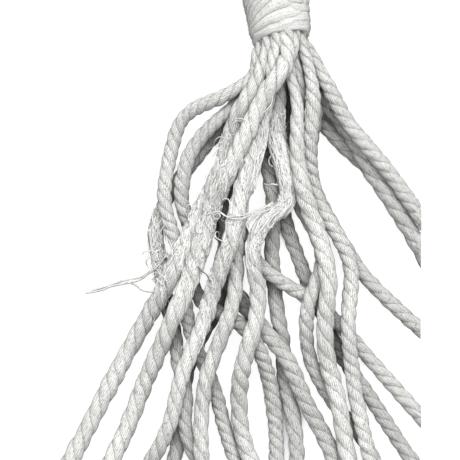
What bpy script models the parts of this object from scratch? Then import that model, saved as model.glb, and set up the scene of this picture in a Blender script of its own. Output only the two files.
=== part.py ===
"""Bunch of frayed three-strand cotton ropes, bound at one end by a serving and laid out flat.

Twenty ropes are pressed into a wound neck (the serving) and fan out from it over the surface they
lie on, crossing over and under each other. Metres, +Z up, surface at z = 0, the neck at +Y.
"""
from dataclasses import dataclass
from math import cos, pi, radians, sin

import bmesh
import bpy
import numpy as np
from mathutils import Matrix, Vector

MM = 0.001
PART_NAME = "frayed_rope_bunch"

# The neck: rope ends pressed into one round bundle and wound over. The ropes leave at its mouth.
NECK_MOUTH = (18.2 * MM, 91.15 * MM)  # middle of the mouth, from the middle of the whole bunch
NECK_LEAN = radians(7.8)              # the neck leans this far to the left, going up from its mouth
NECK_RISE = radians(4.5)              # and its axis climbs, so that its tapered underside lies flat
NECK_HEIGHT = 13.95 * MM              # height of its axis at the mouth
NECK_BORE = 13.4 * MM
NECK_ROPE = 2.37 * MM                 # radius of one rope where it is pressed
SERVING_LENGTH = 29.0 * MM
STUB = 2.5 * MM                       # how far the cut rope ends stand out above the serving
MOUTH_ARCH = 4.5 * MM                 # on top, the wound edge lies this much further up
SERVING_PROFILE = (                   # share of the way up from the mouth, and outer radius in mm
    (0.00, 14.6), (0.05, 15.0), (0.22, 15.9), (0.50, 15.9), (0.80, 16.7), (1.00, 16.8))
SERVING_SEGMENTS = 32

# Places for ropes in the neck: how many in each ring, and how far from the axis. Place 0 is lowest.
RINGS = {"core": (1, 0.0), "inner": (6, 5.1 * MM), "outer": (13, 10.65 * MM)}

SWELL_FROM = 3.0 * MM                 # this far from the mouth the ropes start to swell

# How ropes lie on each other.
NECK_CLEAR = 0.3 * MM                 # kept between two pressed ropes
CLEAR = 0.8 * MM                      # kept between two ropes further out
SAMPLE = 2.0 * MM                     # spacing of the points at which heights are worked out
CREST_BEND = 26.0 * MM                # tightest bend where a rope goes over others
VALLEY_BEND = 48.0 * MM               # tightest bend where it comes down again
NECK_BLEND = 16.0 * MM                # length over which a rope leaves its height in the neck

# A rope's solid is a tube of eight flat sides, with one of them down.
TUBE_BEVEL_RESOLUTION = 2
TUBE_TURN = pi / 8
TUBE_NEAR = (24, 3)                   # close to the neck: this many samples, three at a time
TUBE_FAR_STEP = 6                     # further out: about six at a time

COTTON = (0.70, 0.70, 0.67, 1.0)
COTTON_ROUGHNESS = 0.9
LOWEST_SHADE = 0.6                    # the lowest ropes are the dustiest


@dataclass(frozen=True)
class Rope:
    """A rope: its name, diameter in mm, place in the neck, and its way over the surface.

    The way is listed from the neck's mouth to the rope's free end, in mm from the middle of the
    mouth: x to the right, y up towards the neck. `swollen` is how far from the mouth, in mm, the
    rope has its full diameter: those inside the bunch stay pressed for longer.
    """
    name: str
    diameter: float
    ring: str
    place: int
    swollen: float
    way: tuple


# In the order in which they lie, the lowest first. Names count the free ends from left to right.
ROPES = (
    Rope("rope_15", 7.0, "outer", 0, 70, (
        (1, -10), (2.5, -24), (3, -40), (2.5, -54), (1.5, -68), (1, -80), (4, -96), (9, -109.5),
        (13.5, -121.5), (20, -135.5), (26.5, -150.5), (35.5, -165.5), (44.7, -178.8), (53.5, -192.3),
        (67, -212.5))),
    Rope("rope_19", 7.0, "outer", 1, 38, (
        (10.5, -10), (15, -21), (17.5, -30), (22, -42), (27.5, -49), (34.5, -56), (41.5, -62),
        (47.5, -68.5), (54, -77.5), (60.5, -87.5), (66, -96.5))),
    Rope("rope_04", 7.0, "outer", 12, 70, (
        (-8, -11), (-13.5, -24), (-20, -38), (-26, -53), (-30.5, -66), (-33.3, -78), (-32, -90),
        (-27.5, -102), (-28, -121.5), (-35.5, -141), (-44.3, -158), (-48.2, -174), (-49.3, -189),
        (-54, -212.5))),
    Rope("rope_18", 8.5, "outer", 2, 38, (
        (13.5, -10), (17.5, -19.5), (22, -29.5), (33, -44), (43, -61.5), (50.5, -73.5), (61, -89.5),
        (70, -105))),
    Rope("rope_05", 7.0, "outer", 11, 70, (
        (-11, -10), (-15.5, -21), (-29, -42), (-42.5, -59), (-54, -74), (-61.5, -89.5), (-63, -98),
        (-60.5, -112.5), (-57.5, -132), (-53, -147), (-51.5, -161), (-47.5, -179), (-48, -191), (-41, -212))),
    Rope("rope_11", 7.5, "inner", 0, 70, (
        (-1.5, -11), (-4, -25), (-6, -42), (-7, -60), (-5, -71), (-3.6, -84), (-4.5, -105),
        (-3.5, -121), (-1, -141), (1, -152.5), (1.5, -166), (4.5, -181), (7, -195), (8.5, -215))),
    Rope("rope_17", 7.0, "inner", 1, 70, (
        (9.5, -11), (14.5, -22.5), (17.5, -35), (15.5, -50), (16.3, -72), (24, -89), (32, -103),
        (38.5, -113.5), (47, -123.5), (59.5, -135.5), (70, -145))),
    Rope("rope_10", 8.0, "inner", 5, 70, (
        (-7, -11), (-11, -24), (-15.5, -40), (-20.5, -55), (-25, -68), (-27.5, -80), (-27.5, -92),
        (-27, -106), (-25.5, -121), (-19, -131.5), (-9.5, -144), (-2, -152.5), (4.3, -162.3),
        (10.3, -176.3), (16.3, -188.6), (22.3, -199.6), (27.5, -212.5))),
    Rope("rope_09", 7.5, "outer", 10, 70, (
        (-11.5, -11), (-16.5, -22), (-23.5, -32.3), (-32, -40.5), (-40, -49), (-46, -58), (-49, -70),
        (-49.5, -81.5), (-44, -97.5), (-43.5, -106), (-45.3, -118), (-41, -128.5), (-34.5, -134.5),
        (-23, -140.5), (-13.5, -150), (-8.2, -162), (-5, -175), (-2.7, -192), (-2, -215))),
    Rope("rope_20", 7.5, "outer", 3, 38, (
        (15.5, -7), (19.5, -15.5), (24.5, -25), (31, -37.7), (41.7, -51.8), (52.5, -64.5), (63.5, -79.5),
        (70, -89))),
    Rope("rope_16", 7.0, "core", 0, 70, (
        (-3, -11), (-6, -24), (-9, -38), (-13, -53), (-17.5, -67), (-20.5, -79), (-21.5, -90),
        (-18, -101), (-9.5, -113.5), (4.5, -123.5), (18.5, -132.5), (27.5, -140.5), (38.9, -153.2),
        (52.7, -169), (70.3, -189))),
    Rope("rope_14", 7.0, "inner", 2, 70, (
        (6.5, -10), (9.5, -24), (8.5, -40), (6, -56), (5, -68), (8, -80), (13.5, -90), (19, -101.5),
        (20.5, -109), (18, -120), (14.2, -130), (12.6, -143), (15.2, -161), (21, -173), (30, -186),
        (40.5, -199), (48, -213))),
    Rope("rope_07", 7.0, "outer", 9, 40, (
        (-12, -7), (-13, -15.5), (-22, -24.5), (-31.5, -29.5), (-41.5, -33.5), (-49.5, -40),
        (-54, -51.5), (-57.2, -66), (-58.3, -80), (-53, -100), (-48.5, -115), (-47.5, -133),
        (-42.5, -153.5), (-34, -172.5), (-28.5, -193), (-22, -213))),
    Rope("rope_06", 7.5, "inner", 4, 70, (
        (-5.5, -11), (-8.5, -25), (-11.5, -39), (-16, -56), (-19, -72.5), (-20.5, -88), (-22.5, -106),
        (-22.5, -121), (-27, -141), (-32, -154), (-37, -168), (-39, -179), (-40, -195), (-39.5, -215))),
    Rope("rope_13", 7.5, "outer", 4, 38, (
        (12, -7), (15, -20), (16, -31), (15, -44), (14.3, -58), (17, -76.5), (22.8, -88.5),
        (30.5, -101.5), (35, -114), (34.5, -127), (33.5, -140), (35, -160), (37, -176), (41.5, -197),
        (45.5, -214))),
    Rope("rope_08", 8.5, "inner", 3, 38, (
        (0, -10), (-1, -20), (-1.5, -30), (-3, -43), (-1.5, -53), (2.7, -69), (3.5, -76), (2, -82),
        (-4.5, -87.5), (-11, -95.5), (-14.5, -106), (-12, -122), (-12, -136.5), (-16, -152), (-20, -167),
        (-21, -182), (-18.5, -201), (-14, -213))),
    Rope("rope_01", 8.5, "outer", 8, 30, (
        (-8.5, -9), (-12.5, -21.5), (-20, -35), (-26, -52), (-33, -70.5), (-41.5, -88.5), (-50, -107),
        (-59, -125), (-68, -141), (-77, -156.5), (-89.5, -180), (-106.5, -212.5))),
    Rope("rope_12", 8.5, "outer", 5, 85, (
        (4.5, -10), (5, -20), (7.5, -29), (8, -40), (8, -55), (10, -70), (16, -90), (22, -109),
        (23.5, -122), (22, -142), (23.5, -161.5), (28.5, -180.5), (32, -201), (34.5, -214))),
    Rope("rope_03", 7.5, "outer", 7, 45, (
        (-4, -9), (-5, -21), (-10, -42), (-15.5, -60), (-21, -81), (-25.5, -101), (-32, -119),
        (-37.5, -137), (-43.5, -152.5), (-50.5, -171), (-55, -190), (-65.5, -212))),
    Rope("rope_02", 8.5, "outer", 6, 18, (
        (3, -8), (0.5, -15), (-6.5, -25.5), (-15.5, -43), (-25, -63), (-34, -82.5), (-39.5, -101),
        (-43.5, -114), (-51, -132), (-58.6, -150), (-68, -171), (-77.5, -195), (-86, -212.5))),
)


def spline(points: np.ndarray, start: np.ndarray, spacing: float) -> np.ndarray:
    """Evenly spaced points on the cubic spline through `points` that sets off along `start`."""
    chord = np.linalg.norm(np.diff(points, axis=0), axis=1)
    knots = np.concatenate(([0.0], np.cumsum(chord)))
    rows = np.eye(len(points))
    slopes = np.diff(points, axis=0) / chord[:, None]
    right = np.zeros_like(points)
    rows[0, :2] = 2 * chord[0], chord[0]
    right[0] = 6 * (slopes[0] - start)
    for k in range(1, len(points) - 1):
        rows[k, k - 1:k + 2] = chord[k - 1], 2 * (chord[k - 1] + chord[k]), chord[k]
        right[k] = 6 * (slopes[k] - slopes[k - 1])
    bend = np.linalg.solve(rows, right)
    at = np.linspace(0.0, knots[-1], round(knots[-1] / spacing) + 1)
    k = np.clip(np.searchsorted(knots, at, side="right") - 1, 0, len(chord) - 1)
    span, past, left = chord[k, None], (at - knots[k])[:, None], (knots[k + 1] - at)[:, None]
    return ((bend[k] * left ** 3 + bend[k + 1] * past ** 3) / (6 * span)
            + (points[k] / span - bend[k] * span / 6) * left
            + (points[k + 1] / span - bend[k + 1] * span / 6) * past)


def neck_frame() -> Matrix:
    """The neck's own frame: origin in the mouth, Z along the axis away from the ropes, Y upwards."""
    place = Matrix.Translation((*NECK_MOUTH, NECK_HEIGHT)) @ Matrix.Rotation(NECK_LEAN, 4, "Z")
    return place @ Matrix.Rotation(NECK_RISE - pi / 2, 4, "X") @ Matrix.Rotation(pi, 4, "Z")


def neck_place(rope: Rope, along: float) -> Vector:
    """A rope's centre in the neck, `along` the axis from the mouth."""
    count, radius = RINGS[rope.ring]
    angle = 2 * pi * rope.place / count - pi / 2
    return neck_frame() @ Vector((-radius * cos(angle), radius * sin(angle), along))


def swell(rope: Rope, along: np.ndarray) -> np.ndarray:
    """How far a rope has swollen from its pressed size, from 0 to 1, by length from the mouth."""
    share = np.clip((along - SWELL_FROM) / (rope.swollen * MM - SWELL_FROM), 0.0, 1.0)
    return share * share * (3 - 2 * share)


def upper_hull(along: np.ndarray, height: np.ndarray) -> np.ndarray:
    """The lowest line over `height` that nowhere curves upwards."""
    kept = []
    for k in range(len(along)):
        while len(kept) > 1:
            i, j = kept[-2:]
            rise_kept = (height[j] - height[i]) * (along[k] - along[i])
            rise_new = (height[k] - height[i]) * (along[j] - along[i])
            if rise_kept > rise_new:
                break
            kept.pop()
        kept.append(k)
    return np.interp(along, along[kept], height[kept])


def lay(low: np.ndarray, along: np.ndarray) -> np.ndarray:
    """Heights of a rope that rests on `low` and bends no tighter than its crest and valley bends."""
    reach = (along[:, None] - along[None, :]) ** 2
    crests = (low[None, :] - reach / (2 * CREST_BEND)).max(axis=1)
    hang = along ** 2 / (2 * VALLEY_BEND)
    return upper_hull(along, crests - hang) + hang


def lie_ropes() -> dict:
    """Each rope's centre line from mouth to free end: rows of x, y, z, radius and clearance."""
    lines = {}
    lower = np.empty((0, 5))
    mouth = Vector((*NECK_MOUTH, 0.0))
    for rope in ROPES:
        exit_place = neck_place(rope, 0.0)
        start = (exit_place - neck_place(rope, 1.0)).to_2d().normalized()
        way = [exit_place.to_2d()]
        way += [(mouth + Vector((x, y, 0.0)) * MM).to_2d() for x, y in rope.way]
        plan = spline(np.array(way), np.array(start), SAMPLE)
        steps = np.linalg.norm(np.diff(plan, axis=0), axis=1)
        along = np.concatenate(([0.0], np.cumsum(steps)))
        share = swell(rope, along)
        radius = NECK_ROPE + (rope.diameter * MM / 2 - NECK_ROPE) * share
        clear = NECK_CLEAR + (CLEAR - NECK_CLEAR) * share
        low = radius * cos(TUBE_TURN)
        if len(lower):
            apart = np.linalg.norm(plan[:, None, :] - lower[None, :, :2], axis=2)
            gap = np.maximum(clear[:, None], lower[None, :, 4])
            touch = radius[:, None] + lower[None, :, 3] + gap
            over = lower[None, :, 2] + np.sqrt(np.maximum(touch ** 2 - apart ** 2, 0.0))
            low = np.maximum(low, np.where(apart < touch, over, 0.0).max(axis=1))
        low[0] = exit_place.z
        leave = np.clip(along / NECK_BLEND, 0.0, 1.0) ** 2
        height = np.maximum(low, exit_place.z + (lay(low, along) - exit_place.z) * leave)
        line = np.column_stack((plan, height, radius, clear))
        lines[rope.name] = line
        lower = np.vstack((lower, line))
    return lines


def cotton(name: str, shade: float) -> bpy.types.Material:
    """Undyed cotton, `shade` times as light as clean cotton."""
    material = bpy.data.materials.new(name)
    material.use_nodes = True
    surface = material.node_tree.nodes["Principled BSDF"]
    surface.inputs["Base Color"].default_value = (*(shade * part for part in COTTON[:3]), 1.0)
    surface.inputs["Roughness"].default_value = COTTON_ROUGHNESS
    surface.inputs["Metallic"].default_value = 0.0
    return material


def rope_object(rope: Rope, line: np.ndarray, shade: float) -> bpy.types.Object:
    """A tube along the rope's centre line, from its cut end above the serving to its free end."""
    near, near_step = TUBE_NEAR
    last = len(line) - 1
    far = np.linspace(near, last, round((last - near) / TUBE_FAR_STEP) + 1)
    picked = list(range(0, near, near_step)) + [round(k) for k in far]
    centres = [neck_place(rope, SERVING_LENGTH + STUB)] + [Vector(line[k, :3]) for k in picked]
    radii = [NECK_ROPE] + [line[k, 3] for k in picked]
    curve = bpy.data.curves.new(rope.name, "CURVE")
    curve.dimensions = "3D"
    curve.twist_mode = "Z_UP"
    curve.bevel_depth = rope.diameter * MM / 2
    curve.bevel_resolution = TUBE_BEVEL_RESOLUTION
    curve.use_fill_caps = True
    tube = curve.splines.new("POLY")
    tube.points.add(len(centres) - 1)
    for point, centre, radius in zip(tube.points, centres, radii):
        point.co = (*centre, 1.0)
        point.radius = radius / curve.bevel_depth
        point.tilt = TUBE_TURN
    curve.materials.append(cotton(f"{rope.name}_cotton", shade))
    return bpy.data.objects.new(rope.name, curve)


def serving_object() -> bpy.types.Object:
    """The barrel wound round the neck: an arched mouth, a round bore, and a flat where it lies."""
    frame = neck_frame()
    rings = [(share, radius * MM) for share, radius in SERVING_PROFILE]
    rings += [(1.0, NECK_BORE), (0.0, NECK_BORE)]
    form = bmesh.new()
    loops = []
    for share, radius in rings:
        loop = []
        for k in range(SERVING_SEGMENTS):
            angle = 2 * pi * k / SERVING_SEGMENTS
            along = share * SERVING_LENGTH + (1 - share) * MOUTH_ARCH * max(0.0, sin(angle))
            place = frame @ Vector((radius * cos(angle), radius * sin(angle), along))
            place.z = max(place.z, 0.0)
            loop.append(form.verts.new(place))
        loops.append(loop)
    for loop, after in zip(loops, loops[1:] + loops[:1]):
        for k in range(SERVING_SEGMENTS):
            form.faces.new((loop[k - 1], loop[k], after[k], after[k - 1]))
    bmesh.ops.recalc_face_normals(form, faces=form.faces[:])
    mesh = bpy.data.meshes.new("serving")
    form.to_mesh(mesh)
    form.free()
    mesh.shade_smooth()
    mesh.set_sharp_from_angle(angle=radians(40))
    mesh.materials.append(cotton("serving_cotton", 1.0))
    return bpy.data.objects.new("serving", mesh)


def main() -> None:
    """Empty the scene and build the bunch in its own collection."""
    for old in list(bpy.data.objects):
        bpy.data.objects.remove(old, do_unlink=True)
    bunch = bpy.data.collections.new(PART_NAME)
    bpy.context.scene.collection.children.link(bunch)
    bunch.objects.link(serving_object())
    lines = lie_ropes()
    for layer, rope in enumerate(ROPES):
        shade = LOWEST_SHADE + (1.0 - LOWEST_SHADE) * layer / (len(ROPES) - 1)
        bunch.objects.link(rope_object(rope, lines[rope.name], shade))


main()
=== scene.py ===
"""Bunch of frayed three-strand cotton ropes, bound at one end by a serving and laid out flat.

Metres, +Z up, the surface at z = 0 and the neck at +Y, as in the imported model. Each rope is a
surface of three twisted strands carried along the line on which it lies, and its worn stretches
are covered with loosened yarns. The serving is one broad strand wound round the neck.
"""
from __future__ import annotations

import logging
from dataclasses import dataclass, field
from enum import Enum
from functools import partial, reduce
from math import cos, pi, radians, sin, tau

import bpy
import numpy as np
from mathutils import Matrix, Vector

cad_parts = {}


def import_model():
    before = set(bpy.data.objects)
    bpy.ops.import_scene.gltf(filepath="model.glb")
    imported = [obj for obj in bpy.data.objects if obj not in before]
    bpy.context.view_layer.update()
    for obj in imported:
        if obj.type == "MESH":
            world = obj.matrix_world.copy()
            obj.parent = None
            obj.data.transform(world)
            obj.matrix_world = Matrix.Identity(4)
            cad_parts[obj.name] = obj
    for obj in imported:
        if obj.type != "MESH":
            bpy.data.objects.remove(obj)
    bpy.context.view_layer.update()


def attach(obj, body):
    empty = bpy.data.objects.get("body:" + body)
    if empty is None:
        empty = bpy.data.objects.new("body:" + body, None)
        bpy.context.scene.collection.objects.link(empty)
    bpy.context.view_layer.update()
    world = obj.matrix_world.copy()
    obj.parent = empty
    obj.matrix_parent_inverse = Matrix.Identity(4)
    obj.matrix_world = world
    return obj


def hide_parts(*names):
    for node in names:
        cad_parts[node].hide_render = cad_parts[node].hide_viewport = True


LOG = logging.getLogger("rope_bunch")
MM = 0.001


class Ring(Enum):
    """A ring of places in the neck: how many, and how far from its axis. Place 0 is lowest."""

    CORE = (1, 0.0)
    INNER = (6, 5.1 * MM)
    OUTER = (13, 10.65 * MM)


class End(Enum):
    """How a rope's free end is cut."""

    SQUARE = "square to the rope"
    UPRIGHT = "along the upright plane that trims the right-hand ropes"


@dataclass(frozen=True)
class Fray:
    """A stretch in which a rope has frayed, in mm below the neck's mouth.

    Attributes:
        start: Where it begins.
        stop: Where it ends.
        yarns: How many loosened yarns lie on it.
        wild: How far they stray, from 0 to 1.
    """

    start: float
    stop: float
    yarns: int
    wild: float = 0.5


@dataclass(frozen=True)
class Rope:
    """A rope: its diameter in mm, place in the neck, way over the surface, and wear.

    The way runs from the neck's mouth to the free end, in mm from the middle of the mouth: x to
    the right, y up towards the neck. `swollen` is how far from the mouth, in mm, the rope has its
    full diameter. `lay` is the length of one full turn of the strands, in diameters. `girth` pairs
    a distance below the mouth, in mm, with how thick the rope is there beside its diameter.
    """

    name: str
    diameter: float
    ring: Ring
    place: int
    swollen: float
    way: tuple
    end: End = End.SQUARE
    lay: float = 3.25
    phase: float = 0.0
    frays: tuple = ()
    girth: tuple = ((0, 1.0),)

    def dice(self, purpose: int) -> np.random.Generator:
        """The rope's own source of random numbers for one purpose."""
        return np.random.default_rng(purpose + int(self.name[-2:]))


# In the order in which they lie, the lowest first. Names count the free ends from left to right.
ROPES = (
    Rope("rope_15", 7.0, Ring.OUTER, 0, 70, (
        (1, -10), (2.5, -24), (3, -40), (2.5, -54), (1.5, -68), (1, -80), (4, -96), (9, -109.5),
        (13.5, -121.5), (20, -135.5), (26.5, -150.5), (35.5, -165.5), (44.7, -178.8), (53.5, -192.3),
        (67, -212.5)), lay=3.0),
    Rope("rope_19", 7.0, Ring.OUTER, 1, 38, (
        (10.5, -10), (15, -21), (17.5, -30), (22, -42), (27.5, -49), (34.5, -56), (41.5, -62),
        (47.5, -68.5), (54, -77.5), (60.5, -87.5), (66, -96.5))),
    Rope("rope_04", 7.0, Ring.OUTER, 12, 70, (
        (-8, -11), (-13.5, -24), (-20, -38), (-26, -53), (-30.5, -66), (-33.3, -78), (-32, -90),
        (-27.5, -102), (-28, -121.5), (-35.5, -141), (-44.3, -158), (-48.2, -174), (-49.3, -189),
        (-54, -212.5))),
    Rope("rope_18", 8.5, Ring.OUTER, 2, 38, (
        (13.5, -10), (17.5, -19.5), (22, -29.5), (33, -44), (43, -61.5), (50.5, -73.5), (61, -89.5),
        (70, -105)), End.UPRIGHT, 3.5),
    Rope("rope_05", 7.0, Ring.OUTER, 11, 70, (
        (-11, -10), (-15.5, -21), (-29, -42), (-42.5, -59), (-54, -74), (-61.5, -89.5), (-63, -98),
        (-60.5, -112.5), (-57.5, -132), (-53, -147), (-51.5, -161), (-47.5, -179), (-48, -191),
        (-41, -212)), frays=(Fray(86, 126, 70, 0.8),)),
    Rope("rope_11", 7.5, Ring.INNER, 0, 70, (
        (-1.5, -11), (-4, -25), (-6, -42), (-7, -60), (-5, -71), (-3.6, -84), (-4.5, -105),
        (-3.5, -121), (-1, -141), (1, -152.5), (1.5, -166), (4.5, -181), (7, -195), (8.5, -215))),
    Rope("rope_17", 7.0, Ring.INNER, 1, 70, (
        (9.5, -11), (14.5, -22.5), (17.5, -35), (15.5, -50), (16.3, -72), (24, -89), (32, -103),
        (38.5, -113.5), (47, -123.5), (59.5, -135.5), (70, -145)), End.UPRIGHT),
    Rope("rope_10", 8.0, Ring.INNER, 5, 70, (
        (-7, -11), (-11, -24), (-15.5, -40), (-20.5, -55), (-25, -68), (-27.5, -80), (-27.5, -92),
        (-27, -106), (-25.5, -121), (-19, -131.5), (-9.5, -144), (-2, -152.5), (4.3, -162.3),
        (10.3, -176.3), (16.3, -188.6), (22.3, -199.6), (27.5, -212.5)), lay=2.95),
    Rope("rope_09", 7.5, Ring.OUTER, 10, 70, (
        (-11.5, -11), (-16.5, -22), (-23.5, -32.3), (-32, -40.5), (-40, -49), (-46, -58), (-49, -70),
        (-49.5, -81.5), (-44, -97.5), (-43.5, -106), (-45.3, -118), (-41, -128.5), (-34.5, -134.5),
        (-23, -140.5), (-13.5, -150), (-8.2, -162), (-5, -175), (-2.7, -192), (-2, -215)), lay=2.4),
    Rope("rope_20", 7.5, Ring.OUTER, 3, 38, (
        (15.5, -7), (19.5, -15.5), (24.5, -25), (31, -37.7), (41.7, -51.8), (52.5, -64.5), (63.5, -79.5),
        (70, -89)), End.UPRIGHT, lay=2.75),
    Rope("rope_16", 7.0, Ring.CORE, 0, 70, (
        (-3, -11), (-6, -24), (-9, -38), (-13, -53), (-17.5, -67), (-20.5, -79), (-21.5, -90),
        (-18, -101), (-9.5, -113.5), (4.5, -123.5), (18.5, -132.5), (27.5, -140.5), (38.9, -153.2),
        (52.7, -169), (70.3, -189)), End.UPRIGHT),
    Rope("rope_14", 7.0, Ring.INNER, 2, 70, (
        (6.5, -10), (9.5, -24), (8.5, -40), (6, -56), (5, -68), (8, -80), (13.5, -90), (19, -101.5),
        (20.5, -109), (18, -120), (14.2, -130), (12.6, -143), (15.2, -161), (21, -173), (30, -186),
        (40.5, -199), (48, -213))),
    Rope("rope_07", 7.0, Ring.OUTER, 9, 40, (
        (-12, -7), (-13, -15.5), (-22, -24.5), (-31.5, -29.5), (-41.5, -33.5), (-49.5, -40),
        (-54, -51.5), (-57.2, -66), (-58.3, -80), (-53, -100), (-48.5, -115), (-47.5, -133),
        (-42.5, -153.5), (-34, -172.5), (-28.5, -193), (-22, -213)), lay=2.55),
    Rope("rope_06", 7.5, Ring.INNER, 4, 70, (
        (-5.5, -11), (-8.5, -25), (-11.5, -39), (-16, -56), (-19, -72.5), (-20.5, -88), (-22.5, -106),
        (-22.5, -121), (-27, -141), (-32, -154), (-37, -168), (-39, -179), (-40, -195),
        (-39.5, -215)), lay=3.9),
    Rope("rope_13", 7.5, Ring.OUTER, 4, 38, (
        (12, -7), (15, -20), (16, -31), (15, -44), (14.3, -58), (17, -76.5), (22.8, -88.5),
        (30.5, -101.5), (35, -114), (34.5, -127), (33.5, -140), (35, -160), (37, -176), (41.5, -197),
        (45.5, -214)), lay=2.7),
    Rope("rope_08", 8.5, Ring.INNER, 3, 38, (
        (0, -10), (-1, -20), (-1.5, -30), (-3, -43), (-1.5, -53), (2.7, -69), (3.5, -76), (2, -82),
        (-4.5, -87.5), (-11, -95.5), (-14.5, -106), (-12, -122), (-12, -136.5), (-16, -152), (-20, -167),
        (-21, -182), (-18.5, -201), (-14, -213)), frays=(Fray(36, 108, 135, 0.5),),
         girth=((0, 1.0), (36, 1.0), (50, 1.05), (82, 1.0), (90, 0.86), (112, 0.86), (130, 0.97))),
    Rope("rope_01", 8.5, Ring.OUTER, 8, 30, (
        (-8.5, -9), (-12.5, -21.5), (-20, -35), (-26, -52), (-33, -70.5), (-41.5, -88.5), (-50, -107),
        (-59, -125), (-68, -141), (-77, -156.5), (-89.5, -180), (-106.5, -212.5)),
         frays=(Fray(46, 128, 130, 0.6),),
         girth=((0, 1.0), (52, 1.0), (63, 0.86), (76, 0.86), (88, 1.0))),
    Rope("rope_12", 8.5, Ring.OUTER, 5, 85, (
        (4.5, -10), (5, -20), (7.5, -29), (8, -40), (8, -55), (10, -70), (16, -90), (22, -109),
        (23.5, -122), (22, -142), (23.5, -161.5), (28.5, -180.5), (32, -201), (34.5, -214)), lay=3.5),
    Rope("rope_03", 7.5, Ring.OUTER, 7, 45, (
        (-4, -9), (-5, -21), (-10, -42), (-15.5, -60), (-21, -81), (-25.5, -101), (-32, -119),
        (-37.5, -137), (-43.5, -152.5), (-50.5, -171), (-55, -190), (-65.5, -212)),
         lay=3.5, frays=(Fray(52, 138, 135, 0.6),)),
    Rope("rope_02", 8.5, Ring.OUTER, 6, 18, (
        (3, -8), (0.5, -15), (-6.5, -25.5), (-15.5, -43), (-25, -63), (-34, -82.5), (-39.5, -101),
        (-43.5, -114), (-51, -132), (-58.6, -150), (-68, -171), (-77.5, -195), (-86, -212.5)),
         frays=(Fray(60, 126, 120, 0.5),), girth=((0, 1.3), (8, 1.2), (18, 1.0))),
)


class Tone(Enum):
    """How dirty a loose yarn is, or how dark its painted shade is: its name, and its colour."""

    CLEAN = ("clean", (0.86, 0.86, 0.84))
    WORN = ("worn", (0.84, 0.84, 0.82))
    DUSTY = ("dusty", (0.62, 0.62, 0.595))
    # Nearly black: painted shade in the holes at the neck's mouth and at the edges of gaps among the ropes.
    GRIMY = ("grimy", (0.16, 0.16, 0.145))


@dataclass(frozen=True)
class LooseYarn:
    """A yarn that has come away from its rope and lies over the bunch.

    Attributes:
        way: Its way in mm from the middle of the neck's mouth, x to the right and y up.
        radius: Its radius in mm.
        tone: How dirty it is, or that it is painted in shade.
        count: How many such yarns lie side by side, as a loosened strand.
        spread: Half the width of that strand, in mm.
    """

    way: tuple
    radius: float = 0.30
    tone: Tone = Tone.CLEAN
    count: int = 1
    spread: float = 0.0


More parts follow.
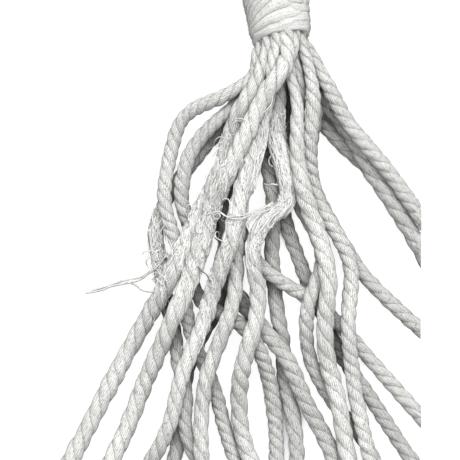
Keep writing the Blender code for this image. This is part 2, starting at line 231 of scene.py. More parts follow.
# Under the name of the rope that each came out of.
LOOSE_YARNS = {
    "rope_01": (
        LooseYarn(((-56.5, -107), (-62, -113.5), (-66.5, -117), (-70.5, -120), (-75, -121.2), (-85, -123.2),
                   (-90, -125.2), (-98, -126.7)), 0.52, Tone.DUSTY),
        LooseYarn(((-64, -114.8), (-70, -118.6), (-75.5, -119.8), (-80, -120.6), (-87.5, -123.2),
                   (-95.5, -125.6)), 0.48, Tone.DUSTY),
        LooseYarn(((-76, -121.5), (-72.5, -123), (-69.5, -125.2), (-66, -125.8), (-63, -125.4)), 0.42,
                   Tone.DUSTY),
        LooseYarn(((-57, -106), (-60, -112), (-62.5, -117), (-64.5, -120)), 0.3),
        LooseYarn(((-60.5, -116.5), (-57.5, -119.5), (-56.3, -122.8)), 0.22),
        LooseYarn(((-62.5, -119), (-59, -122), (-57, -125)), 0.22),
        LooseYarn(((-46.8, -86.2), (-47.4, -83.8), (-46, -82.2), (-44.6, -83)), 0.22),
        LooseYarn(((-44.4, -92.4), (-45, -94.8), (-43.6, -96.4), (-42.2, -95.2), (-42.6, -93.2)), 0.22),
        LooseYarn(((-24, -41), (-21.8, -39.8), (-19.5, -39.9), (-17.4, -40.7)), 0.28),
        LooseYarn(((-24.4, -42), (-22, -40.8), (-19.8, -40.9)), 0.22),
        LooseYarn(((-28, -49.4), (-29.8, -48.6), (-31.6, -49), (-33.2, -50.8), (-33.6, -53)), 0.26),
        LooseYarn(((-28.4, -50), (-29.2, -51.2), (-30.6, -51.3), (-31.2, -52.6), (-32.4, -53.4)), 0.3),
        LooseYarn(((-30, -53), (-31.8, -55), (-33, -56.8), (-34.2, -58.6)), 0.2),
        LooseYarn(((-64.5, -111.5), (-61.5, -112), (-58.4, -114.6)), 0.17),
        LooseYarn(((-64, -113.5), (-61, -115.6), (-59.6, -118.6)), 0.17),
        LooseYarn(((-59.4, -110), (-61.8, -113.8), (-62.4, -118)), 0.17),
        LooseYarn(((-57.6, -112.2), (-58.4, -116), (-61.4, -119.8)), 0.17),
        LooseYarn(((-65.6, -116.4), (-62.6, -116.2), (-59.4, -117.6), (-57.6, -120.2)), 0.17),
        LooseYarn(((-63.6, -121), (-61.2, -118.8), (-58, -118.2)), 0.15),
        LooseYarn(((-60.2, -122.4), (-58.2, -120.6), (-57.2, -117.4)), 0.15),
        LooseYarn(((-53, -103), (-55.4, -106.8), (-58.6, -109.6)), 0.17),
    ),
    "rope_02": (
        LooseYarn(((-4.2, -28.5), (-4.6, -31), (-5.2, -33), (-6.8, -34.9), (-9, -36.8)), 0.3),
        LooseYarn(((-3.4, -30), (-4.2, -32.8), (-5.9, -35.2), (-8.3, -37.2)), 0.26),
        LooseYarn(((-27, -70), (-27.4, -73), (-28, -76)), 0.5),
        LooseYarn(((-29.4, -80.2), (-27.6, -79.3), (-26, -80.2), (-25.6, -82)), 0.28),
        LooseYarn(((-30.5, -86.6), (-32.2, -86.8), (-33.8, -88), (-33, -89.4), (-31.2, -89.2), (-30.4, -88),
                   (-31.4, -86.8)), 0.3),
        LooseYarn(((-35.4, -85.4), (-36.8, -85.2), (-37.3, -84), (-36.2, -83.2), (-35.2, -84),
                   (-35.6, -85.2)), 0.26),
        LooseYarn(((-29.4, -100.4), (-31.2, -99.6), (-32.8, -98.2), (-32.6, -96.2), (-31.4, -96),
                   (-30.9, -97.6), (-31.6, -99.4)), 0.3),
        LooseYarn(((-40.5, -88.4), (-41, -86.2), (-39.6, -84.6), (-37.9, -85.4), (-38, -87.2),
                   (-39.4, -87.8)), 0.24),
        LooseYarn(((-34.8, -96.4), (-35.2, -94), (-34, -92), (-32.6, -92.6), (-32.8, -94.6)), 0.26),
        LooseYarn(((-28.4, -88.4), (-29.6, -89.2), (-29.4, -90.6), (-28.4, -90.2)), 0.28),
        LooseYarn(((-46.1, -90.3), (-46.2, -88), (-44.9, -86), (-43, -86.3)), 0.3),
        LooseYarn(((-42, -94), (-41.6, -96.2), (-40.1, -96.5), (-39.2, -95.2)), 0.32),
        LooseYarn(((-41.5, -113.4), (-39.6, -115.4), (-37.1, -117.3), (-35.4, -120.8)), 0.34, Tone.GRIMY),
        LooseYarn(((-26, -62), (-29.5, -70), (-33, -79), (-37.6, -90), (-40.6, -101), (-43, -110)), 0.24,
                   Tone.WORN, 7, 1.7),
    ),
    "rope_03": (
        LooseYarn(((-33.2, -98.8), (-31.3, -101), (-31.6, -104), (-32.8, -108), (-33, -110)), 0.3,
                   Tone.GRIMY),
        LooseYarn(((-7.6, -34), (-8, -41), (-8.4, -48), (-9.8, -55), (-11.6, -62), (-13.4, -70),
                   (-15.5, -79)), 0.24, Tone.WORN, 10, 1.6),
        LooseYarn(((-10, -39), (-9.6, -46), (-10.6, -53), (-12.8, -60), (-14.4, -68), (-17, -77)), 0.24,
                   Tone.WORN, 7, 1.3),
        LooseYarn(((-9.6, -54), (-10.6, -59), (-11, -64), (-12.2, -69.5)), 0.24, Tone.WORN, 8, 0.9),
        LooseYarn(((-4.5, 0.5), (-4.2, 0.2)), 0.35, Tone.GRIMY),
        LooseYarn(((-5.7, 3.3), (-5.2, 3.1)), 0.35, Tone.GRIMY),
    ),
    "rope_05": (
        LooseYarn(((-52.5, -105), (-55.5, -107), (-59, -109.5), (-62, -110.8))),
        LooseYarn(((-62, -103), (-65, -105.5), (-68.3, -106), (-69.5, -107.2)), 0.24),
        LooseYarn(((-64, -102), (-66.8, -109), (-66.2, -114.5), (-63, -118.5)), 0.26),
        LooseYarn(((-60, -104), (-64.5, -108), (-67.6, -110.4), (-67, -113.2)), 0.22),
        LooseYarn(((-61.5, -93), (-64.6, -95.2), (-67, -96.2)), 0.2),
        LooseYarn(((-57.5, -98), (-54.7, -103), (-54.4, -109), (-56.4, -112.5))),
        LooseYarn(((-58, -92.5), (-61, -97), (-62.4, -102.4), (-60.2, -106.8)), 0.18),
        LooseYarn(((-60.4, -90.5), (-58.6, -95.4), (-57.6, -100.2)), 0.18),
        LooseYarn(((-64, -95), (-61.6, -99.4), (-58.4, -103)), 0.17),
        LooseYarn(((-63.4, -99.6), (-60.8, -103.8), (-57.2, -106.6)), 0.17),
        LooseYarn(((-60.5, -88), (-63.5, -97), (-63.6, -104), (-62, -111)), 0.22, Tone.CLEAN, 9, 2.0),
    ),
    "rope_06": (
        LooseYarn(((-19.2, -126.6), (-17.4, -128.6), (-15.6, -130.6)), 0.3, Tone.GRIMY),
    ),
    "rope_08": (
        LooseYarn(((-5, -82.5), (-10.5, -84.6), (-14.2, -85.4), (-18, -87.4), (-23.6, -88.1), (-28, -88),
                   (-30.8, -85.8), (-34.5, -86.3), (-37.5, -87.6)), 0.31),
        LooseYarn(((-7, -85), (-11, -86.2), (-15, -86.9), (-18, -88.7), (-21.8, -89.6), (-26.6, -88.6),
                   (-29.3, -86.7), (-33, -85.4)), 0.29),
        LooseYarn(((-3.4, -56.6), (-4.7, -57.5), (-6.1, -59.9), (-5.8, -62.1), (-4.2, -63.4)), 0.3),
        LooseYarn(((-8.2, -72), (-6.3, -72.7), (-4.4, -72.2), (-1.8, -72.5)), 0.5),
        LooseYarn(((-7.2, -93), (-5.4, -93.8), (-3.8, -91.6)), 0.3),
        LooseYarn(((-3, -36), (-2, -44), (0.6, -51), (2.2, -58), (4, -66), (4.8, -75), (2, -82)), 0.25,
                   Tone.WORN, 11, 1.2),
        LooseYarn(((-5.6, -40), (-5.2, -48), (-3.6, -55), (-1.2, -62), (0.6, -70), (1, -77)), 0.25,
                   Tone.WORN, 13, 1.7),
        LooseYarn(((3.4, -79), (-1, -84), (-6, -89), (-11.5, -95), (-14.6, -102)), 0.24, Tone.WORN, 8, 1.3),
        LooseYarn(((-3.4, -81.6), (-8, -84.8), (-12.4, -87.2), (-16, -90.6), (-17.6, -95.4)), 0.24,
                   Tone.WORN, 10, 1.3),
    ),
    "rope_12": (
        LooseYarn(((2.6, 2.5), (2.9, 1.8)), 0.4, Tone.GRIMY),
        LooseYarn(((1.5, 5.1), (1.8, 4.6)), 0.35, Tone.GRIMY),
    ),
}


def smooth(share: np.ndarray) -> np.ndarray:
    """A step from 0 to 1 with level ends: 3t² - 2t³, with t held between 0 and 1."""
    share = np.clip(share, 0.0, 1.0)
    return share * share * (3 - 2 * share)


def wander(rng: np.random.Generator, at: np.ndarray, reach: float) -> np.ndarray:
    """A smooth random wave along `at`: four sines of unrelated lengths about `reach`, summed.

    Args:
        rng: Source of the lengths and phases.
        at: Places to work it out at; each row of a 2-D array gets a wave of its own.
        reach: Typical distance from one crest to the next.

    Returns:
        Values of about -1 to 1, shaped like `at`.
    """
    rows = np.atleast_2d(at)
    total = np.zeros_like(rows)
    for stretch in (0.61, 0.87, 1.31, 2.3):
        length = reach * stretch * rng.uniform(0.85, 1.15, (len(rows), 1))
        total += np.sin(tau * rows / length + rng.uniform(0, tau, (len(rows), 1)))
    return (total / 2.4).reshape(np.shape(at))


def dress(piece: bpy.types.Object, replaced: str | None = None) -> bpy.types.Object:
    """Ties a finished piece to the part's one body, and reports it.

    Args:
        piece: The piece.
        replaced: The plain node that it takes the place of, if any.

    Returns:
        The piece.
    """
    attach(piece, "root")
    if replaced is not None:
        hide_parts(replaced)
    LOG.info("%s: %d faces", piece.name, len(piece.data.polygons))
    return piece


@dataclass(frozen=True)
class Neck:
    """The round bundle in which the ropes are pressed together and wound over.

    Attributes:
        mouth: Plan of the middle of its mouth.
        lean: How far its axis turns from +Y.
        rise: How far its axis tilts up towards the cut ends.
        height: Height of the middle of its mouth.
        rope_radius: Radius of a rope pressed in it.
        length: Length that is wound over.
        stub: How far the cut ends stand above that.
    """

    mouth: tuple = (18.2 * MM, 91.15 * MM)
    lean: float = radians(7.8)
    rise: float = radians(4.5)
    height: float = 13.95 * MM
    rope_radius: float = 2.37 * MM
    length: float = 29.0 * MM
    stub: float = 2.5 * MM

    def frame(self) -> Matrix:
        """The neck's own frame: origin in the mouth, Z along the axis away from the ropes, Y up."""
        place = Matrix.Translation((*self.mouth, self.height)) @ Matrix.Rotation(self.lean, 4, "Z")
        return place @ Matrix.Rotation(self.rise - pi / 2, 4, "X") @ Matrix.Rotation(pi, 4, "Z")

    def place(self, rope: Rope, along: float) -> Vector:
        """A rope's centre in the neck, `along` the axis from the mouth."""
        count, radius = rope.ring.value
        angle = tau * rope.place / count - pi / 2
        return self.frame() @ Vector((-radius * cos(angle), radius * sin(angle), along))


@dataclass
class Line:
    """The line on which a rope lies, with a frame at each of its points.

    Attributes:
        points: Points from the cut end above the serving to the free end.
        radius: The rope's radius at each point.
        along: Length from the mouth, negative in the neck.
    """

    points: np.ndarray
    radius: np.ndarray
    along: np.ndarray
    tangent: np.ndarray = field(init=False)
    side: np.ndarray = field(init=False)
    up: np.ndarray = field(init=False)

    def __post_init__(self) -> None:
        """Works out the frames: the side is level, and the up is square to it and the line."""
        step = np.gradient(self.points, axis=0)
        self.tangent = step / np.linalg.norm(step, axis=1)[:, None]
        side = np.cross((0.0, 0.0, 1.0), self.tangent)
        self.side = side / np.linalg.norm(side, axis=1)[:, None]
        self.up = np.cross(self.tangent, self.side)

    def at(self, along: np.ndarray) -> tuple[np.ndarray, ...]:
        """The line between its points.

        Args:
            along: Lengths from the mouth.

        Returns:
            Point, tangent, side, up and radius there.
        """
        found = []
        for values in (self.points, self.tangent, self.side, self.up):
            found.append(np.stack([np.interp(along, self.along, values[:, k]) for k in range(3)], -1))
        return (*found, np.interp(along, self.along, self.radius))


@dataclass
class Lie:
    """How the ropes lie on the surface and on each other, lowest first.

    Attributes:
        neck: The neck that they come out of.
        swell_from: Distance from the mouth at which they start to swell.
        neck_clear: Kept between two pressed ropes.
        clear: Kept between two ropes further out.
        sample: Spacing of the points at which heights are worked out.
        crest_bend: Tightest bend where a rope goes over others.
        valley_bend: Tightest bend where it comes down again.
        neck_blend: Length over which a rope leaves its height in the neck.
        flat: Distance to a flat side of an eight-sided rope, as a share of its radius.
        spacing: Spacing of the finished lines' points.
        rounding: Points to each side over which a line is rounded off, and the spread in points.
        lines: Rope name to the line on which it lies.
    """

    neck: Neck
    swell_from: float = 3.0 * MM
    neck_clear: float = 0.3 * MM
    clear: float = 0.8 * MM
    sample: float = 2.0 * MM
    crest_bend: float = 26.0 * MM
    valley_bend: float = 48.0 * MM
    neck_blend: float = 16.0 * MM
    flat: float = cos(pi / 8)
    spacing: float = 1.1 * MM
    rounding: tuple = (3, 1.4)
    lines: dict = field(default_factory=dict)

    def spline(self, points: np.ndarray, start: np.ndarray) -> np.ndarray:
        """Evenly spaced points on a cubic spline.

        Args:
            points: What it runs through, as rows of x and y.
            start: Unit vector along which it sets off.

        Returns:
            Rows of x and y.
        """
        chord = np.linalg.norm(np.diff(points, axis=0), axis=1)
        knots = np.concatenate(([0.0], np.cumsum(chord)))
        rows = np.eye(len(points))
        slopes = np.diff(points, axis=0) / chord[:, None]
        right = np.zeros_like(points)
        rows[0, :2] = 2 * chord[0], chord[0]
        right[0] = 6 * (slopes[0] - start)
        for k in range(1, len(points) - 1):
            rows[k, k - 1:k + 2] = chord[k - 1], 2 * (chord[k - 1] + chord[k]), chord[k]
            right[k] = 6 * (slopes[k] - slopes[k - 1])
        bend = np.linalg.solve(rows, right)
        at = np.linspace(0.0, knots[-1], round(knots[-1] / self.sample) + 1)
        k = np.clip(np.searchsorted(knots, at, side="right") - 1, 0, len(chord) - 1)
        span, past, left = chord[k, None], (at - knots[k])[:, None], (knots[k + 1] - at)[:, None]
        return ((bend[k] * left ** 3 + bend[k + 1] * past ** 3) / (6 * span)
                + (points[k] / span - bend[k] * span / 6) * left
                + (points[k + 1] / span - bend[k + 1] * span / 6) * past)

    @staticmethod
    def upper_hull(along: np.ndarray, height: np.ndarray) -> np.ndarray:
        """The lowest line over some heights that nowhere curves upwards.

        Args:
            along: Length at each height.
            height: The heights.

        Returns:
            The line's height at each length.
        """
        kept: list[int] = []
        for k in range(len(along)):
            while len(kept) > 1:
                i, j = kept[-2:]
                rise_kept = (height[j] - height[i]) * (along[k] - along[i])
                rise_new = (height[k] - height[i]) * (along[j] - along[i])
                if rise_kept > rise_new:
                    break
                kept.pop()
            kept.append(k)
        return np.interp(along, along[kept], height[kept])

    def settle(self, low: np.ndarray, along: np.ndarray, crest: float, valley: float) -> np.ndarray:
        """Heights of a rope or yarn that rests on what is under it, and bends only so tightly.

        Args:
            low: Least height at each length.
            along: The lengths.
            crest: Tightest bend over a crest.
            valley: Tightest bend in a valley.

        Returns:
            Height at each length.
        """
        reach = (along[:, None] - along[None, :]) ** 2
        crests = (low[None, :] - reach / (2 * crest)).max(axis=1)
        hang = along ** 2 / (2 * valley)
        return self.upper_hull(along, crests - hang) + hang

    def lay_all(self) -> None:
        """Lays every rope over those before it and keeps its line."""
        lower = np.empty((0, 5))
        mouth = Vector((*self.neck.mouth, 0.0))
        for rope in ROPES:
            exit_place = self.neck.place(rope, 0.0)
            start = (exit_place - self.neck.place(rope, 1.0)).to_2d().normalized()
            way = [exit_place.to_2d()]
            way += [(mouth + Vector((x, y, 0.0)) * MM).to_2d() for x, y in rope.way]
            plan = self.spline(np.array(way), np.array(start))
            steps = np.linalg.norm(np.diff(plan, axis=0), axis=1)
            along = np.concatenate(([0.0], np.cumsum(steps)))
            share = smooth((along - self.swell_from) / (rope.swollen * MM - self.swell_from))
            pressed = self.neck.rope_radius
            radius = pressed + (rope.diameter * MM / 2 - pressed) * share
            clear = self.neck_clear + (self.clear - self.neck_clear) * share
            low = radius * self.flat
            if len(lower):
                apart = np.linalg.norm(plan[:, None, :] - lower[None, :, :2], axis=2)
                gap = np.maximum(clear[:, None], lower[None, :, 4])
                touch = radius[:, None] + lower[None, :, 3] + gap
                over = lower[None, :, 2] + np.sqrt(np.maximum(touch ** 2 - apart ** 2, 0.0))
                low = np.maximum(low, np.where(apart < touch, over, 0.0).max(axis=1))
            low[0] = exit_place.z
            leave = np.clip(along / self.neck_blend, 0.0, 1.0) ** 2
            lain = self.settle(low, along, self.crest_bend, self.valley_bend)
            height = np.maximum(low, exit_place.z + (lain - exit_place.z) * leave)
            line = np.column_stack((plan, height, radius, clear))
            lower = np.vstack((lower, line))
            self.lines[rope.name] = self.fine(rope, line)

    def fine(self, rope: Rope, line: np.ndarray) -> Line:
        """A rope's line with its stretch in the neck, finely sampled and rounded off.

        Args:
            rope: The rope.
            line: Rows of x, y, z and radius from the mouth to the free end.

        Returns:
            The line from the cut end above the serving to the free end.
        """
        inside = self.neck.length + self.neck.stub
        backs = np.arange(inside, 0.0, -self.sample)
        neck = np.array([(*self.neck.place(rope, back), self.neck.rope_radius) for back in backs])
        rows = np.vstack((neck, line[:, :4]))
        steps = np.linalg.norm(np.diff(rows[:, :3], axis=0), axis=1)
        along = np.concatenate(([0.0], np.cumsum(steps)))
        at = np.linspace(0.0, along[-1], round(along[-1] / self.spacing) + 1)
        fine = np.stack([np.interp(at, along, rows[:, k]) for k in range(4)], -1)
        reach, width = self.rounding
        weights = np.exp(-0.5 * (np.arange(-reach, reach + 1) / width) ** 2)
        ends = np.vstack((2 * fine[0] - fine[reach:0:-1], fine, 2 * fine[-1] - fine[-2:-reach - 2:-1]))
        for k in range(4):
            fine[:, k] = np.convolve(ends[:, k], weights / weights.sum(), "valid")
        return Line(fine[:, :3], fine[:, 3], at - inside)


@dataclass
class Tubes:
    """Closed tubes, each a grid of rings carried along a path and closed at both ends.

    Attributes:
        points: Tube, ring, corner and xyz.
        uv: Tube, ring, corner with one more to close the ring, and uv.
        marks: Named values, by tube, ring and corner.
    """

    points: np.ndarray
    uv: np.ndarray
    marks: dict[str, np.ndarray] = field(default_factory=dict)

    def mesh_object(self, name: str, materials: list, sharp: float = pi) -> bpy.types.Object:
        """Makes the tubes one mesh.

        Each side face joins corners j and j + 1 of rings i and i + 1, in the order that points
        outwards, and each end is a fan round the middle of its ring.

        Args:
            name: Name of the object.
            materials: Material of the sides, and if given a second for the ends.
            sharp: Edges that turn more than this stay sharp.

        Returns:
            The object, at the origin and linked to the scene.
        """
        tubes, rings, sides, _ = self.points.shape
        count = tubes * rings * sides
        corner = np.arange(count).reshape(tubes, rings, sides)
        onward = np.roll(corner, -1, axis=2)
        side = np.stack((corner[:, :-1], onward[:, :-1], onward[:, 1:], corner[:, 1:]), -1)
        heads = count + np.arange(tubes)[:, None]
        tails = heads + tubes
        fans = [np.stack((np.broadcast_to(heads, corner[:, 0].shape), onward[:, 0], corner[:, 0]), -1),
                np.stack((np.broadcast_to(tails, corner[:, 0].shape), corner[:, -1], onward[:, -1]), -1)]
        middles = [self.points[:, 0].mean(axis=1), self.points[:, -1].mean(axis=1)]
        vertices = np.vstack((self.points.reshape(-1, 3), *middles))
        fan = np.concatenate([part.reshape(-1, 3) for part in fans])
        side = side.reshape(-1, 4)
        loops = np.concatenate((side.ravel(), fan.ravel()))
        totals = np.concatenate((np.full(len(side), 4), np.full(len(fan), 3)))
        starts = np.concatenate(([0], np.cumsum(totals)[:-1]))
        mesh = bpy.data.meshes.new(name)
        mesh.vertices.add(len(vertices))
        mesh.vertices.foreach_set("co", vertices.astype(np.float32).ravel())
        mesh.loops.add(len(loops))
        mesh.loops.foreach_set("vertex_index", loops.astype(np.int32))
        mesh.polygons.add(len(totals))
        mesh.polygons.foreach_set("loop_start", starts.astype(np.int32))
        for material in materials:
            mesh.materials.append(material)
        if len(materials) > 1:
            slots = (totals == 3).astype(np.int32)
            mesh.polygons.foreach_set("material_index", slots)
        mesh.update(calc_edges=True)
        uv = np.stack((self.uv[:, :-1, :-1], self.uv[:, :-1, 1:], self.uv[:, 1:, 1:], self.uv[:, 1:, :-1]), 3)
        flat = np.concatenate((uv.reshape(-1, 2), np.zeros((fan.size, 2))))
        mesh.uv_layers.new(name="lay").uv.foreach_set("vector", flat.astype(np.float32).ravel())
        for mark, values in self.marks.items():
            ends = [values[:, 0].mean(axis=1), values[:, -1].mean(axis=1)]
            flat = np.concatenate((values.ravel(), *ends))
            mesh.attributes.new(mark, "FLOAT", "POINT").data.foreach_set("value", flat.astype(np.float32))
        mesh.shade_smooth()
        if sharp < pi:
            mesh.set_sharp_from_angle(angle=sharp)
        thing = bpy.data.objects.new(name, mesh)
        bpy.context.scene.collection.objects.link(thing)
        return thing


def sweep(paths: np.ndarray, radius: np.ndarray, sides: int) -> Tubes:
    """Carries a circle along each path, turning it as little as it can.

    Args:
        paths: Path, point and xyz.
        radius: Path and point.
        sides: Corners of each ring.

    Returns:
        The tubes, with their length in mm along v and their yarns counted along u.
    """
    step = np.gradient(paths, axis=1)
    tangent = step / np.maximum(np.linalg.norm(step, axis=2, keepdims=True), 1e-12)
    side = np.cross(tangent[:, 0], (0.31, 0.17, 0.93))
    sides_at = []
    for k in range(paths.shape[1]):
        side = side - tangent[:, k] * (side * tangent[:, k]).sum(axis=1, keepdims=True)
        side = side / np.maximum(np.linalg.norm(side, axis=1, keepdims=True), 1e-12)
        sides_at.append(side)
    side = np.stack(sides_at, axis=1)
    up = np.cross(tangent, side)
    angle = tau * np.arange(sides) / sides
    out = side[:, :, None] * np.cos(angle)[:, None] + up[:, :, None] * np.sin(angle)[:, None]
    points = paths[:, :, None] + out * radius[:, :, None, None]
    run = np.cumsum(np.linalg.norm(np.diff(paths, axis=1, prepend=paths[:, :1]), axis=2), axis=1)
    yarns = np.maximum(1, np.round(tau * radius.mean(axis=1) / (0.95 * MM)))[:, None, None]
    u = np.broadcast_to(yarns * np.arange(sides + 1) / sides, (*paths.shape[:2], sides + 1))
    v = np.broadcast_to((run / MM)[:, :, None], u.shape)
    return Tubes(points, np.stack((u, v), -1))


@dataclass
class Buried:
    """How deep between and under other ropes a place lies, for the shade painted there where they hide the
    sky.

    Attributes:
        lines: Rope name to the line on which it lies.
        sectors: Directions in plan in which the ropes round a place are looked for.
        reach: How far away they are looked for.
        thin: Only every such ring and corner is worked out, and the rest lie between.
        batch: Places worked out at once.
        near: Ropes closer than this count as this far away.
        crown: Height above a rope's middle that hides the sky, as a share of its radius.
    """

    lines: dict
    sectors: int = 6
    reach: float = 14 * MM
    thin: tuple = (3, 6)
    batch: int = 700
    near: float = 0.4 * MM
    crown: float = 0.6

    def depth(self, name: str, points: np.ndarray) -> np.ndarray:
        """Share of the sky that other ropes hide, from 0 to 1.

        Args:
            name: The rope that the places are on.
            points: Tube, ring, corner and xyz.

        Returns:
            Shares by tube, ring and corner.
        """
        rings, corners = points.shape[1:3]
        picked = np.unique(np.append(np.arange(0, rings, self.thin[0]), rings - 1))
        places = points[0, picked][:, ::self.thin[1]].reshape(-1, 3).astype(np.float32)
        others = np.vstack([np.column_stack((line.points, line.radius))[::2]
                            for other, line in self.lines.items() if other != name]).astype(np.float32)
        hidden = np.zeros(len(places), np.float32)
        for first in range(0, len(places), self.batch):
            batch = slice(first, first + self.batch)
            part = places[batch]
            ahead = others[None, :, :2] - part[:, None, :2]
            apart = np.hypot(ahead[..., 0], ahead[..., 1])
            rise = others[None, :, 2] + self.crown * others[None, :, 3] - part[:, None, 2]
            near = np.maximum(apart - others[None, :, 3], self.near)
            steep = np.where(apart < self.reach, np.arctan2(np.maximum(rise, 0.0), near), 0.0)
            sector = (np.arctan2(ahead[..., 1], ahead[..., 0]) * (self.sectors / tau)) % self.sectors
            for k in range(self.sectors):
                hidden[batch] += np.where(sector.astype(np.int8) == k, steep, 0.0).max(axis=1)
        share = (hidden * (2 / pi / self.sectors)).reshape(len(picked), -1)
        share = np.stack([np.interp(np.arange(rings), picked, column) for column in share.T], -1)
        share = np.concatenate((share, share[:, :1]), axis=1)
        at = np.append(np.arange(0, corners, self.thin[1]), corners)
        return np.stack([np.interp(np.arange(corners), at, row) for row in share])[None]


@dataclass(frozen=True)
class Strands:
    """The three-strand lay of a rope, twisted to the left.

    Round the rope's axis each strand is a circle of `fullness` times the rope's radius, and its
    middle is the rest of that radius away, so three crowns alternate with three sharp grooves.

    Attributes:
        occlusion_shade: How deep among the other ropes a place lies, for the painted shade there.
        corners: Corners of each ring of the surface.
        gathered: How far the corners are drawn together in the grooves.
        fullness: Radius of a strand, as a share of the rope's.
        yarn: Width of a yarn.
        bulge: How much single strands swell and thin, as a share of the radius.
        uneven: How much the whole rope does.
        fluff: How far the cotton stands proud of the rope's diameter.
        squeezed: How much more it swells where it leaves the neck.
        squeezed_for: Over what length from the mouth.
        trim: Length over which an upright cut's plane turns square to the rope.
        shadowed: Length from the mouth over which shade is painted between the strands.
        fray_edge: Length in mm over which a frayed stretch sets in.
        twist_seed: Purpose for which the twist's dice are rolled.
        shape_seed: The same for the surface.
    """

    occlusion_shade: Buried | None = None
    corners: int = 60
    gathered: float = 0.55
    fullness: float = 0.755
    yarn: float = 0.95 * MM
    bulge: float = 0.05
    uneven: float = 0.025
    fluff: float = 1.07
    squeezed: float = 0.13
    squeezed_for: float = 26.0 * MM
    trim: float = 14.0 * MM
    grimy: float = 48.0 * MM
    fray_edge: float = 8.0
    twist_seed: int = 0
    shape_seed: int = 100

    def profile(self, phase: np.ndarray, loose: np.ndarray) -> np.ndarray:
        """Distance from the axis, as a share of the radius, at an angle from a crown.

        Args:
            phase: Angle round the rope, counted with the twist; crowns are at 0, 120 and 240 degrees.
            loose: How far the strands have opened and filled their grooves, from 0 to 1.

        Returns:
            1 on a crown and least in a groove.
        """
        third = tau / 3
        angle = np.abs((phase + third / 2) % third - third / 2)
        off = 1 - self.fullness
        laid = off * np.cos(angle) + np.sqrt(self.fullness ** 2 - (off * np.sin(angle)) ** 2)
        return laid + (1 - laid) * 0.4 * loose + 0.05 * loose

    def twist(self, rope: Rope, along: np.ndarray) -> np.ndarray:
        """How far the strands have turned: a full turn to each lay, a little unevenly.

        Args:
            rope: The rope.
            along: Lengths from the mouth.

        Returns:
            Angle at each length, which falls along the rope because the lay is left-handed.
        """
        rng = rope.dice(self.twist_seed)
        lay = rope.lay * rope.diameter * MM
        uneven = 0.35 * wander(rng, np.asarray(along, float).reshape(1, -1), 55 * MM)
        return rope.phase + rng.uniform(0, tau) - tau * along / lay + uneven.reshape(np.shape(along))

    @staticmethod
    def below(line: Line) -> np.ndarray:
        """How far below the neck's mouth each point of a line lies, in mm."""
        return (Neck().mouth[1] - line.points[:, 1]) / MM

    def girth(self, rope: Rope, line: Line) -> np.ndarray:
        """How thick the rope is at each point of its line, beside its diameter."""
        return np.interp(self.below(line), *zip(*rope.girth))

    def loose(self, rope: Rope, line: Line, along: np.ndarray) -> np.ndarray:
        """How frayed the rope is.

        Args:
            rope: The rope.
            line: The line on which it lies.
            along: Lengths from the mouth.

        Returns:
            From 0 to 1, at each length.
        """
        below = np.interp(along, line.along, self.below(line))
        total = np.zeros_like(below)
        for fray in rope.frays:
            share = smooth((below - fray.start) / self.fray_edge)
            total = np.maximum(total, share * smooth((fray.stop - below) / self.fray_edge))
        return total

    def tube(self, rope: Rope, line: Line) -> Tubes:
        """The rope's surface: phase round it by length along it.

        Args:
            rope: The rope.
            line: The line on which it lies.

        Returns:
            One tube, with its yarns counted along u and millimetres along v.
        """
        rng = rope.dice(self.shape_seed)
        along = line.along
        rings = len(along)
        phase = tau * np.arange(self.corners + 1) / self.corners
        phase = phase + self.gathered * np.sin(3 * phase) / 3
        loose = self.loose(rope, line, along)[:, None]
        shape = self.profile(phase[None, :], loose)
        strand = np.floor((phase + pi / 3) / (tau / 3) + 1e-9).astype(int) % 3
        crown = np.cos(1.5 * (((phase + pi / 3) % (tau / 3)) - pi / 3))
        full = wander(rng, np.broadcast_to(along, (3, rings)), 17 * MM).T
        shape = shape * (1 + self.bulge * full[:, strand] * crown)
        shape = shape * (1 + self.uneven * wander(rng, along[None, :], 24 * MM).T)
        ripple = wander(rng, np.broadcast_to(along, (self.corners, rings)), 6 * MM).T
        ripple = np.concatenate((ripple, ripple[:, :1]), axis=1)
        shape = shape * (1 + 0.03 * loose * (0.4 + ripple) + 0.006 * ripple)
        plane = line.tangent.copy()
        if rope.end is End.UPRIGHT:
            share = smooth((along - along[-1] + self.trim) / self.trim)[:, None]
            plane = line.tangent * (1 - share) + np.array((1.0, 0.0, 0.0)) * share
        full_size = self.fluff + self.squeezed * (1 - smooth(along / self.squeezed_for))
        full_size = (full_size * self.girth(rope, line))[:, None]
        slip = np.zeros((rings, self.corners + 1))
        for _ in range(2):
            at = along[:, None] + slip
            angle = phase[None, :] + self.twist(rope, at)
            out = (line.side[:, None] * np.cos(angle)[..., None]
                   + line.up[:, None] * np.sin(angle)[..., None])
            out = out * (shape * line.radius[:, None] * full_size)[..., None]
            lean = (out * plane[:, None]).sum(axis=2) / (line.tangent * plane).sum(axis=1)[:, None]
            slip = -lean
        points = line.points[:, None] + out + line.tangent[:, None] * slip[..., None]
        points[..., 2] = np.maximum(points[..., 2], 0.0)
        around = round(tau * rope.diameter * MM / 2 / self.yarn)
        u = angle / tau * around + 0.37 * strand[None, :]
        v = (along[:, None] + slip) / MM
        groove = 1 - np.clip(crown, 0, 1)[None, :] * np.ones((rings, 1))
        points = points[None, :, :-1]
        mouth = 1 - smooth(along[:, None] / self.grimy)
        # The groove, deep and mouth marks carry painted shade; the fray mark says how frayed the rope is.
        marks = {"groove": groove[None, :, :-1],
                 "fray": np.broadcast_to(loose, groove.shape)[None, :, :-1],
                 "deep": self.occlusion_shade.depth(rope.name, points),
                 "mouth": np.broadcast_to(mouth, groove.shape)[None, :, :-1]}
        return Tubes(points, np.stack((u, v), -1)[None], marks)


